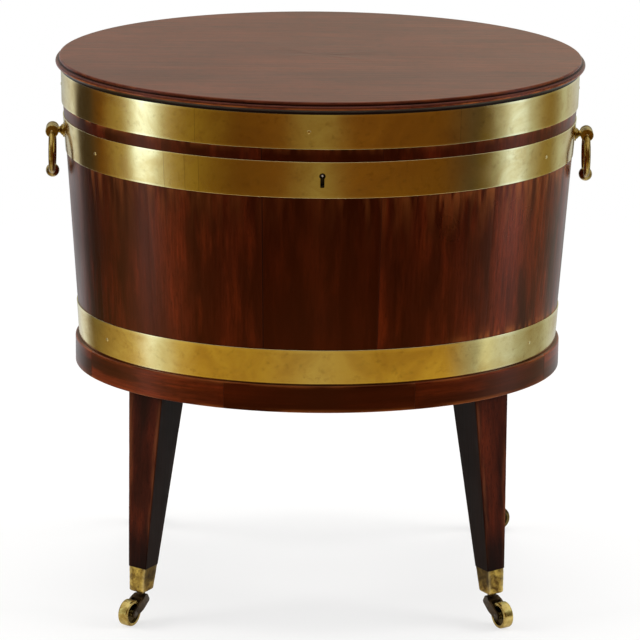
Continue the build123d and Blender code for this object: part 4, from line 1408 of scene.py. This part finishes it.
@dataclass
class Leg:
    """One square leg that tapers, leans out and stands in a brass cup."""

    corner: Corner
    top_level: float = 292.5
    foot_level: float = 70.3
    cup_foot: float = 38.8
    top_spot: tuple[float, float] = (200.4, 126.0)
    foot_spot: tuple[float, float] = (217.3, 157.7)
    top_width: float = 51.2
    foot_width: float = 26.4
    cup_top_width: float = 25.6
    cup_foot_width: float = 21.6
    turn: float = 55.0
    arris_from: float = 0.62
    arris_fade: float = 0.06
    face_from: float = 0.66
    face_fade: float = 0.08

    def sections(self, level: np.ndarray, width: np.ndarray, arris: float) -> np.ndarray:
        """Rounded squares on the leg's leaning line, one a level.

        A section is the unit square with rounded corners, scaled by the width, turned to the
        oval and moved to where the line from the leg's top to its foot meets the level.

        Args:
            level: heights of the sections.
            width: their widths.
            arris: rounding of the corners, in millimetres.

        Returns:
            Grid of points, rows by columns by three.
        """
        side, end = self.corner.value
        square = np.array([(-0.5, -0.5), (0.5, -0.5), (0.5, 0.5), (-0.5, 0.5)])
        share = arris / float(np.mean(width))
        unit = divided(rounded(square, [share] * 4, steps=4, hold=0.3 * share), spacing=0.2)
        turn = math.radians(side * end * self.turn)
        spin = np.array([[math.cos(turn), -math.sin(turn)], [math.sin(turn), math.cos(turn)]])
        flat = unit @ spin.T
        down = (self.top_level - level) / (self.top_level - self.foot_level)
        centre_x = side * (self.top_spot[0] + (self.foot_spot[0] - self.top_spot[0]) * down)
        centre_y = end * (self.top_spot[1] + (self.foot_spot[1] - self.top_spot[1]) * down)
        across = column(centre_x) + column(width) * flat[None, :, 0]
        deep = column(centre_y) + column(width) * flat[None, :, 1]
        return np.stack([across, deep, column(level) + 0 * across], axis=-1)

    def arris_marks(self, points: np.ndarray, width: np.ndarray) -> np.ndarray:
        """Wear that is 1 where a section reaches furthest from its middle, along the arrises.

        Args:
            points: the sections.
            width: their widths.

        Returns:
            One number a point.
        """
        middle = points.mean(axis=1, keepdims=True)
        far = np.linalg.norm(points[..., :2] - middle[..., :2], axis=2) / column(width)
        return np.clip((far - self.arris_from) / self.arris_fade, 0.0, 1.0)

    def dented(self, points: np.ndarray, width: np.ndarray, depth: np.ndarray) -> np.ndarray:
        """Sections drawn in, each point by depth / width of its distance from the middle.

        Args:
            points: the sections.
            width: their widths.
            depth: one number a point.

        Returns:
            The dented sections.
        """
        away = points - points.mean(axis=1, keepdims=True)
        away[..., 2] = 0.0
        return points - away * (depth / column(width))[..., None]

    def inner_faces(self, points: np.ndarray) -> np.ndarray:
        """Marks that are 1 on the two faces turned to the middle of the object, where shade is painted.

        A point counts when its direction from the section's middle lies within 45 degrees of
        such a face's normal.

        Args:
            points: the leg's grid.

        Returns:
            One number a point.
        """
        side, end = self.corner.value
        lean = math.radians(90.0 - self.turn)
        away = (points - points.mean(axis=1, keepdims=True))[..., :2]
        away = away / np.linalg.norm(away, axis=2, keepdims=True)
        front = away @ np.array([-side * math.cos(lean), end * math.sin(lean)])
        back = away @ np.array([-side * math.sin(lean), -end * math.cos(lean)])
        return np.clip((np.maximum(front, back) - self.face_from) / self.face_fade, 0.0, 1.0)

    def post(self) -> Object:
        """The wooden leg, from just inside the frame to the shoulder on its cup.

        Returns:
            The leg.
        """
        top, foot = self.top_level, self.foot_level
        level = np.concatenate([[top + 1.0], np.linspace(top, foot + 1.0, 24), [foot + 0.3, foot]])
        width = np.interp(level, [foot, top], [self.foot_width, self.top_width])
        width[-1] -= 0.6
        points = self.sections(level, width, arris=1.4)
        wear = self.arris_marks(points, width)
        rough = ripple(column(level) / 9.0, np.arange(wear.shape[1])[None] * 1.3, height=0.25, seed=41)
        points = self.dented(points, width, np.abs(rough) * wear)
        # Painted shade on the two inner faces and under the frame, and darker towards the foot
        shade_and_darkening = np.maximum(0.92 * self.inner_faces(points), column(np.interp(level, *LEG_SHADE_AND_DARKENING)))
        marks = {"edge": wear * 0.5, "tone": LEG_TONES[self.corner], "grime": shade_and_darkening}
        return surface(f"leg_{self.corner.label}_post", points, capped=True, marks=marks)

    def cup(self) -> Object:
        """Cast cup round the foot, dented, with a chamfer at the bottom.

        Returns:
            The cup.
        """
        top, foot = self.foot_level, self.cup_foot
        sides = np.linspace(top - 1.0, foot + 2.0, 16)
        level = np.concatenate([[top - 0.1, top - 0.4], sides, [foot + 1.4, foot + 0.6, foot]])
        width = np.interp(level, [foot, top], [self.cup_foot_width, self.cup_top_width])
        width[0] -= 0.5
        width[-3:] -= [0.3, 1.6, 2.6]
        points = self.sections(level, width, arris=1.2)
        dent = ripple(column(level) / 5.0, np.arange(points.shape[1])[None] * 0.9, height=0.35, seed=51)
        points = self.dented(points, width, 1.5 * np.abs(dent))
        # Painted shade on the cup's inward faces, stronger towards its top
        shade_and_darkening = self.inner_faces(points) * np.interp(column(level), *CUP_PAINTED_SHADE)
        marks = {"edge": self.arris_marks(points, width) * 0.3, "grime": shade_and_darkening}
        return surface(f"castor_cup_{self.corner.label}_casting", points, capped=True, marks=marks)

    def make(self) -> None:
        """Builds, dresses and places the leg and its cup."""
        label = self.corner.label
        place(dress(self.post(), LEG_WOOD), "cabinet", "polished_mahogany", f"leg_{label}")
        place(dress(self.cup(), CUP_BRASS), "cabinet", "old_brass", f"castor_cup_{label}")


# Where each castor trails at rest, in degrees round the upright from +X
CASTOR_BEARINGS = {
    Corner.FRONT_LEFT: 237.0, Corner.FRONT_RIGHT: 300.0, Corner.BACK_LEFT: 120.0, Corner.BACK_RIGHT: 14.0,
}


@dataclass
class Castor:
    """One castor: swivelling bronze fork, axle and dished brass wheel."""

    corner: Corner
    pivot: tuple[float, float] = (219.696, 162.194)
    trail: float = 26.0
    wheel_radius: float = 16.5

    def hub(self) -> tuple[tuple[float, float, float], tuple[float, float, float]]:
        """Where the axle is.

        Returns:
            The middle of the wheel and the direction of its axle.
        """
        side, end = self.corner.value
        turn = math.radians(CASTOR_BEARINGS[self.corner])
        spot = (
            side * self.pivot[0] + self.trail * math.cos(turn),
            end * self.pivot[1] + self.trail * math.sin(turn), self.wheel_radius,
        )
        return spot, (-math.sin(turn), math.cos(turn), 0.0)

    def wheel(self) -> Object:
        """Wheel turned from one outline: tread, dished sides, hub and bore.

        Returns:
            The wheel.
        """
        side = np.array([(6.5, 12.3), (3.9, 12.3), (3.9, 4.6), (6.5, 4.6), (6.5, 2.06)])
        tread = np.array([(-6.5, 12.3), (-6.5, self.wheel_radius), (6.5, self.wheel_radius)])
        corners = np.vstack([tread, side, side[:0:-1] * np.array([-1.0, 1.0])])
        radii = [0.6, 3.6, 3.6, 0.6, 1.0, 1.0, 0.7, 0.3, 0.3, 0.7, 1.0, 1.0]
        outline = rounded(corners, radii, steps=6, hold=0.2)
        points = turned(outline, *self.hub(), columns=72)
        # The dished sides are darkened: painted shade in the hollow, with some dirt
        dark = np.interp(outline[:, 1], [4.4, 4.9, 12.2, 12.6], [0.55, 0.9, 0.9, 0.0])
        name = f"castor_wheel_{self.corner.label}_brass"
        return surface(name, points, closed_rows=True, marks={"grime": column(dark)})

    def axle(self) -> Object:
        """Axle with a riveted dome at each end.

        Returns:
            The axle.
        """
        dome = arc((9.7, 0.0), (1.1, 3.2), start=90.0, end=0.0, count=6)[:-1]
        half = np.vstack([[(0.0, 2.0), (9.7, 2.0)], dome])
        outline = np.vstack([half[::-1] * np.array([-1.0, 1.0]), half[1:]])
        name = f"castor_axle_{self.corner.label}_rivet"
        return surface(name, turned(outline, *self.hub(), columns=32), capped=True)

    def make(self) -> None:
        """Builds, dresses and places the fork, axle and wheel."""
        label = self.corner.label
        fork = refined(f"castor_fork_{label}", f"castor_fork_{label}_casting", edge=0.5, segments=3)
        place(dress(fork, DARK_BRONZE), f"swivel_{label}", "dark_bronze", f"castor_fork_{label}")
        place(dress(self.axle(), WORN_STEEL), f"swivel_{label}", "steel", f"castor_axle_{label}")
        # The back wheels take the darker copy: painted shade
        brass = WHEEL_BRASS if self.corner.in_front else SHADED_BACK_WHEEL_BRASS
        place(dress(self.wheel(), brass), f"wheel_{label}", "old_brass", f"castor_wheel_{label}")


ALONG_Y = (0.0, 1.0, 0.0)


@dataclass
class Handle:
    """One ring handle: rose and post through the wall, and a ring that swings on a pin."""

    side: Side
    pivot_x: float = 334.665
    level: float = 591.5
    band_x: float = 319.665
    ring_drop: float = 27.0
    ring_radius: float = 25.5
    arm_radius: float = 4.0
    swell_radius: float = 8.5
    swell_half: float = 11.0
    eye_radius: float = 8.2

    def pivot(self) -> tuple[float, float, float]:
        """Middle of the pin."""
        return (self.side.value * self.pivot_x, 0.0, self.level)

    def post(self) -> Object:
        """Rose, neck and shank turned as one, and the round tongue turned across them.

        Returns:
            The post.
        """
        out = self.side.value
        outline = np.array([
            (-29.0, 0.6), (-29.0, 3.6), (-28.6, 4.0), (-1.2, 4.0), (-1.2, 9.3), (0.4, 9.5), (1.1, 9.4),
            (1.4, 9.0), (1.6, 8.2), (1.5, 7.5), (2.2, 7.1), (3.2, 6.6), (4.2, 5.7), (4.9, 4.7),
            (5.6, 4.1), (6.6, 3.9), (11.0, 3.8),
        ])
        rose = turned(outline, (out * self.band_x, 0.0, self.level), (out, 0.0, 0.0), columns=56)
        corners = np.array([(-4.0, 0.4), (-4.0, self.eye_radius), (4.0, self.eye_radius), (4.0, 0.4)])
        disc = rounded(corners, [0.0, 1.0, 1.0, 0.0], steps=4)[1:-1]
        tongue = turned(disc, self.pivot(), ALONG_Y, columns=56)
        parts = [surface("rose", rose, capped=True), surface("tongue", tongue, capped=True)]
        return joined(f"handle_post_{self.side.label}_brass", parts)

    def ring(self) -> Object:
        """Open ring: a round section carried along a circle, swelling at the grip, with two eyes.

        At angle t from the bottom the section's radius is the larger of the arm's radius and
        the swelling's, R sqrt(1 - (s/L)^2), blended where they meet.

        Returns:
            The ring.
        """
        sweep = np.radians(np.concatenate([
            np.linspace(-160.0, -34.0, 40), np.linspace(-32.0, 32.0, 49), np.linspace(34.0, 160.0, 40),
        ]))
        reach = np.clip(np.abs(sweep) * self.ring_radius / self.swell_half, 0.0, 1.0)
        bulb = self.swell_radius * np.sqrt(1 - reach**2)
        sharpness = 2.2
        radius = np.log(np.exp(self.arm_radius * sharpness) + np.exp(bulb * sharpness)) / sharpness
        outward = np.stack([np.sin(sweep), -np.cos(sweep)], 1)
        middle = self.ring_radius * outward + np.array([0.0, self.level - self.ring_drop])
        turn = np.linspace(0.0, 2 * math.pi, 40, endpoint=False)
        lift = column(radius) * np.cos(turn)
        points = np.stack(
            [
                self.pivot()[0] + column(radius) * np.sin(turn), middle[:, :1] + lift * outward[:, :1],
                middle[:, 1:] + lift * outward[:, 1:],
            ],
            axis=-1,
        )
        parts = [surface("arms", points, capped=True)]
        corners = np.array([(4.3, 1.66), (4.3, self.eye_radius), (10.9, self.eye_radius), (10.9, 1.66)])
        eye = rounded(corners, [0.3, 1.6, 1.6, 0.3], steps=5)
        for end in (-1, 1):
            disc = turned(eye * np.array([end, 1.0]), self.pivot(), ALONG_Y, columns=56)
            parts.append(surface(f"eye_{end}", disc, closed_rows=True))
        return joined(f"handle_ring_{self.side.label}_brass", parts)

    def pin(self) -> Object:
        """Pin with slightly domed ends.

        Returns:
            The pin.
        """
        half = np.array([(11.0, 1.6), (11.4, 1.1), (11.6, 0.3)])
        outline = np.vstack([half[::-1] * np.array([-1.0, 1.0]), half])
        return surface("pin", turned(outline, self.pivot(), ALONG_Y, columns=24), capped=True)

    def make(self) -> Object:
        """Builds, dresses and places the post and ring.

        Returns:
            The pin, which is joined with its twin before it is placed.
        """
        label = self.side.label
        place(dress(self.post(), HANDLE_BRASS), "cabinet", "old_brass", f"handle_post_{label}")
        place(dress(self.ring(), HANDLE_BRASS), f"ring_{label}", "old_brass", f"handle_ring_{label}")
        return self.pin()


@dataclass
class SmallWork:
    """Lock, hinges, nuts, screws, pivots and drain: the CAD shapes with their edges softened."""

    brass: tuple[str, ...] = ("hinge_leaves_body", "lock_plate", "drain_cock_body", "drain_nut")
    lid_brass: tuple[str, ...] = ("hinge_leaves_lid", "link_plate")
    plug_brass: tuple[str, ...] = ("drain_plug", "drain_plug_washer")
    steel: tuple[str, ...] = (
        "castor_pivots", "handle_nuts", "hinge_pins", "hinge_screws_body", "lock_case", "lock_screws",
    )
    lid_steel: tuple[str, ...] = ("hinge_screws_lid", "link_plate_screws")

    def make(self) -> None:
        """Refines, dresses and places each group of small pieces."""
        groups = (
            (self.brass, "cabinet", "old_brass", CAST_BRASS),
            (self.lid_brass, "lid", "old_brass", CAST_BRASS),
            (self.plug_brass, "plug", "old_brass", CAST_BRASS),
            (self.steel, "cabinet", "steel", WORN_STEEL),
            (("lock_drill_pin",), "cabinet", "steel", BRIGHT_STEEL),
            (self.lid_steel, "lid", "steel", WORN_STEEL), (("lock_bolt",), "bolt", "steel", WORN_STEEL),
        )
        for nodes, body, slot, finish in groups:
            for node in nodes:
                place(dress(refined(node, f"{node}_fitted", edge=0.25), finish), body, slot, node)
        dress(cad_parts["floor_board"], PLAIN_WOOD)


# Studio


class RoomTone(Enum):
    """What the metal and the polish mirror round the room, in linear colours."""

    WINDOW = (1.4, 1.7, 2.1)
    PALE_WALL = (0.75, 0.78, 0.80)
    HAZE = (0.48, 0.50, 0.40)
    BUFF = (0.38, 0.28, 0.09)
    OCHRE = (0.24, 0.15, 0.022)
    OAK = (0.14, 0.057, 0.007)
    SHADOW = (0.05, 0.035, 0.019)


def aimed(spot: tuple[float, float, float], aim: tuple[float, float, float]) -> Matrix:
    """Place of a camera or a lamp that looks at a point, its top upwards.

    Args:
        spot: where it stands, in metres.
        aim: the point it looks at.

    Returns:
        Its matrix.
    """
    turn = (Vector(aim) - Vector(spot)).to_track_quat("-Z", "Y")
    return Matrix.Translation(spot) @ turn.to_matrix().to_4x4()


@dataclass
class Studio:
    """Camera, pale floor, soft lamps and the room that the brass and polish mirror."""

    camera_spot: tuple[float, float, float] = (-0.0857, -5.0590, 1.9439)
    aim: tuple[float, float, float] = (0.0032, 0.0, 0.3437)
    lens: float = 234.96
    roll: float = 0.70
    floor_half: float = 14.0
    room_strength: float = 3.0
    ceiling: tuple[float, float, float] = (0.95, 0.93, 0.86)
    soft_light: float = 0.42
    lamp_aim: tuple[float, float, float] = (0.0, 0.0, 0.4)
    # Name, place, width in metres and power in watts
    lamp_list: tuple[tuple[str, tuple[float, float, float], float, float], ...] = (
        ("lamp_left", (-3.2, -0.1, 1.6), 1.8, 85.0), ("lamp_right", (3.2, -0.1, 1.6), 1.8, 85.0),
        ("lamp_above", (0.0, 0.6, 3.2), 2.4, 50.0),
    )
    # Degrees from the front towards +X, what is met there and how brightly it is lit
    room: tuple[tuple[float, RoomTone, float], ...] = (
        (-180.0, RoomTone.HAZE, 0.82), (-150.0, RoomTone.PALE_WALL, 0.7),
        (-125.0, RoomTone.PALE_WALL, 1.0), (-120.0, RoomTone.SHADOW, 2.0), (-116.0, RoomTone.SHADOW, 0.9),
        (-104.0, RoomTone.SHADOW, 1.1), (-94.0, RoomTone.OAK, 1.1), (-78.0, RoomTone.BUFF, 1.0),
        (-72.0, RoomTone.HAZE, 1.6), (-70.0, RoomTone.WINDOW, 1.0), (-64.0, RoomTone.WINDOW, 1.0),
        (-60.0, RoomTone.HAZE, 1.5), (-54.0, RoomTone.BUFF, 1.0), (-46.0, RoomTone.OCHRE, 1.0),
        (-28.0, RoomTone.OAK, 0.85), (-12.0, RoomTone.OAK, 1.1), (0.0, RoomTone.BUFF, 0.7),
        (10.0, RoomTone.OAK, 1.2), (42.0, RoomTone.OAK, 0.95), (56.0, RoomTone.SHADOW, 1.5),
        (63.0, RoomTone.OCHRE, 0.6), (69.0, RoomTone.HAZE, 1.0), (74.0, RoomTone.WINDOW, 0.7),
        (81.0, RoomTone.WINDOW, 0.7), (86.0, RoomTone.HAZE, 1.0), (98.0, RoomTone.BUFF, 0.75),
        (108.0, RoomTone.BUFF, 0.65), (118.0, RoomTone.HAZE, 1.0), (140.0, RoomTone.PALE_WALL, 0.8),
        (172.0, RoomTone.HAZE, 1.15), (180.0, RoomTone.HAZE, 0.82),
    )
    # The same for the floor close by, which the lower band mirrors
    near: tuple[tuple[float, RoomTone, float], ...] = (
        (-180.0, RoomTone.PALE_WALL, 1.0), (-132.0, RoomTone.PALE_WALL, 1.1),
        (-112.0, RoomTone.BUFF, 0.7), (-90.0, RoomTone.BUFF, 1.2), (-70.0, RoomTone.BUFF, 1.8),
        (-62.0, RoomTone.HAZE, 1.7), (-52.0, RoomTone.BUFF, 1.7), (-43.0, RoomTone.OCHRE, 2.2),
        (-20.0, RoomTone.OCHRE, 1.9), (0.0, RoomTone.BUFF, 1.25), (20.0, RoomTone.OCHRE, 1.8),
        (48.0, RoomTone.OCHRE, 2.3), (61.0, RoomTone.HAZE, 0.9), (66.0, RoomTone.HAZE, 2.0),
        (72.0, RoomTone.HAZE, 1.2), (90.0, RoomTone.HAZE, 0.75), (110.0, RoomTone.HAZE, 0.85),
        (135.0, RoomTone.PALE_WALL, 0.8), (180.0, RoomTone.PALE_WALL, 1.0),
    )

    def scaled(self, colour: tuple[float, float, float], level: float = 1.0) -> tuple[float, ...]:
        """Colour times a level, divided by the room's strength, as RGBA."""
        return (*(level * channel / self.room_strength for channel in colour), 1.0)

    def room_colour(self, tree: Tree, vector: Output, ring: tuple) -> Output:
        """Colour of the room in a direction, from its angle round the upright.

        Args:
            tree: node tree that gets the nodes.
            vector: node and output that give the direction from the object.
            ring: degrees, tones and levels met all round.

        Returns:
            The node and output that give the colour, divided by the room's strength.
        """
        space = add_node(tree, "Mapping", {}, {"Vector": vector, "Rotation": (0.0, 0.0, math.pi / 2)})
        angle = add_node(tree, "TexGradient", {"gradient_type": "RADIAL"}, {"Vector": (space, "Vector")})
        stops = [
            ((degrees + 180.0) / 360.0, self.scaled(tone.value, level)) for degrees, tone, level in ring
        ]
        return (add_node(tree, "ValToRGB", {"stops": stops}, {"Fac": (angle, "Fac")}), "Color")

    def camera(self) -> None:
        """Long lens from the photograph's height, turned a little about its own axis."""
        data = bpy.data.cameras.new("camera")
        data.lens = self.lens
        data.sensor_width = 36.0
        data.clip_end = 100.0
        eye = in_scene("camera", data)
        roll = Matrix.Rotation(math.radians(self.roll), 4, "Z")
        eye.matrix_world = aimed(self.camera_spot, self.aim) @ roll
        bpy.context.scene.camera = eye

    def floor(self) -> None:
        """Pale floor: white to the eye but for its shadow, and the room's colours in mirrors."""
        half = self.floor_half
        corners = [(-half, -half, 0), (half, -half, 0), (half, half, 0), (-half, half, 0)]
        mesh = bpy.data.meshes.new("floor")
        mesh.from_pydata(corners, [], [(0, 1, 2, 3)])
        plane = in_scene("floor", mesh)
        material, tree = new_material("pale_floor")
        place_node = add_node(tree, "TexCoord")
        rays = add_node(tree, "LightPath")
        plain = add_node(tree, "BsdfDiffuse", {}, {"Color": linear("#f6f5f3")})
        white = add_node(tree, "Emission", {}, {"Color": WHITE, "Strength": 1.0})
        far = add_node(tree, "VectorMath", {"operation": "LENGTH"}, {"Vector": (place_node, "Object")})
        fading = add_node(tree, "MapRange", SMOOTH, {
            "Value": (far, "Value"), "From Min": 0.5, "From Max": 2.0, "To Min": 0.65, "To Max": 1.0,
        })
        seen = add_node(tree, "Math", TIMES, {
            "Value": (rays, "Is Camera Ray"), "Value_001": (fading, "Result"),
        })
        lit = add_node(tree, "MixShader", {}, {
            "Fac": (seen, "Value"), "Shader": (plain, "BSDF"), "Shader_001": (white, "Emission"),
        })
        ring_share = add_node(tree, "MapRange", SMOOTH, {
            "Value": (far, "Value"), "From Min": 0.95, "From Max": 1.5, "To Min": 0.15, "To Max": 1.0,
        })
        ring = self.room_colour(tree, (place_node, "Object"), self.room)
        close = self.room_colour(tree, (place_node, "Object"), self.near)
        tone = add_node(
            tree, "Mix", MIX, {"Factor_Float": (ring_share, "Result"), "A_Color": close, "B_Color": ring}
        )
        room = add_node(
            tree, "Emission", {}, {"Color": (tone, "Result_Color"), "Strength": self.room_strength}
        )
        start = add_node(tree, "MapRange", SMOOTH, {
            "Value": (far, "Value"), "From Min": 0.4, "From Max": 0.75, "To Min": 0.25, "To Max": 1.0,
        })
        mirrored = add_node(tree, "Math", TIMES, {
            "Value": (rays, "Is Glossy Ray"), "Value_001": (start, "Result"),
        })
        surface_node = add_node(tree, "MixShader", {}, {
            "Fac": (mirrored, "Value"), "Shader": (lit, "Shader"), "Shader_001": (room, "Emission"),
        })
        add_node(tree, "OutputMaterial", {}, {"Surface": (surface_node, "Shader")})
        mesh.materials.append(material)

    def world(self) -> None:
        """White to the eye, an even soft light on surfaces, and the room's colours in mirrors."""
        world = bpy.data.worlds.new("room")
        bpy.context.scene.world = world
        world.use_nodes = True
        tree = world.node_tree
        tree.nodes.clear()
        place_node = add_node(tree, "TexCoord")
        rays = add_node(tree, "LightPath")
        ring = self.room_colour(tree, (place_node, "Generated"), self.room)
        split = add_node(tree, "SeparateXYZ", {}, {"Vector": (place_node, "Generated")})
        high = add_node(tree, "MapRange", SMOOTH, {
            "Value": (split, "Z"), "From Min": 0.5, "From Max": 0.85, "To Min": 0.0, "To Max": 1.0,
        })
        tone = add_node(tree, "Mix", MIX, {
            "Factor_Float": (high, "Result"), "A_Color": ring, "B_Color": self.scaled(self.ceiling),
        })
        room = add_node(
            tree, "Background", {}, {"Color": (tone, "Result_Color"), "Strength": self.room_strength}
        )
        soft = add_node(tree, "Background", {}, {"Color": WHITE, "Strength": self.soft_light})
        white = add_node(tree, "Background", {}, {"Color": WHITE, "Strength": 1.0})
        mirrored = add_node(tree, "MixShader", {}, {
            "Fac": (rays, "Is Glossy Ray"), "Shader": (soft, "Background"),
            "Shader_001": (room, "Background"),
        })
        seen = add_node(tree, "MixShader", {}, {
            "Fac": (rays, "Is Camera Ray"), "Shader": (mirrored, "Shader"),
            "Shader_001": (white, "Background"),
        })
        add_node(tree, "OutputWorld", {}, {"Surface": (seen, "Shader")})

    def lamps(self) -> None:
        """Three soft lamps that light surfaces only; mirrors show the room instead."""
        for name, spot, size, power in self.lamp_list:
            data = bpy.data.lights.new(name, "AREA")
            data.energy = power
            data.size = size
            lamp = in_scene(name, data)
            lamp.matrix_world = aimed(spot, self.lamp_aim)
            lamp.visible_glossy = False

    def make(self) -> None:
        """Sets up everything round the object."""
        bpy.context.scene.view_settings.view_transform = "Standard"
        self.camera()
        self.floor()
        self.world()
        self.lamps()


def main() -> None:
    """Builds the studio and then the cooler, from the lid down."""
    logging.basicConfig(level=logging.INFO, format="%(name)s %(message)s")
    Studio().make()
    Lid().make()
    Tub().make()
    BaseFrame().make()
    for corner in Corner:
        Leg(corner).make()
        Castor(corner).make()
    pins = joined("handle_pins_brass", [Handle(side).make() for side in Side])
    place(dress(pins, CAST_BRASS), "cabinet", "old_brass", "handle_pins")
    SmallWork().make()


if __name__ == "__main__":
    main()
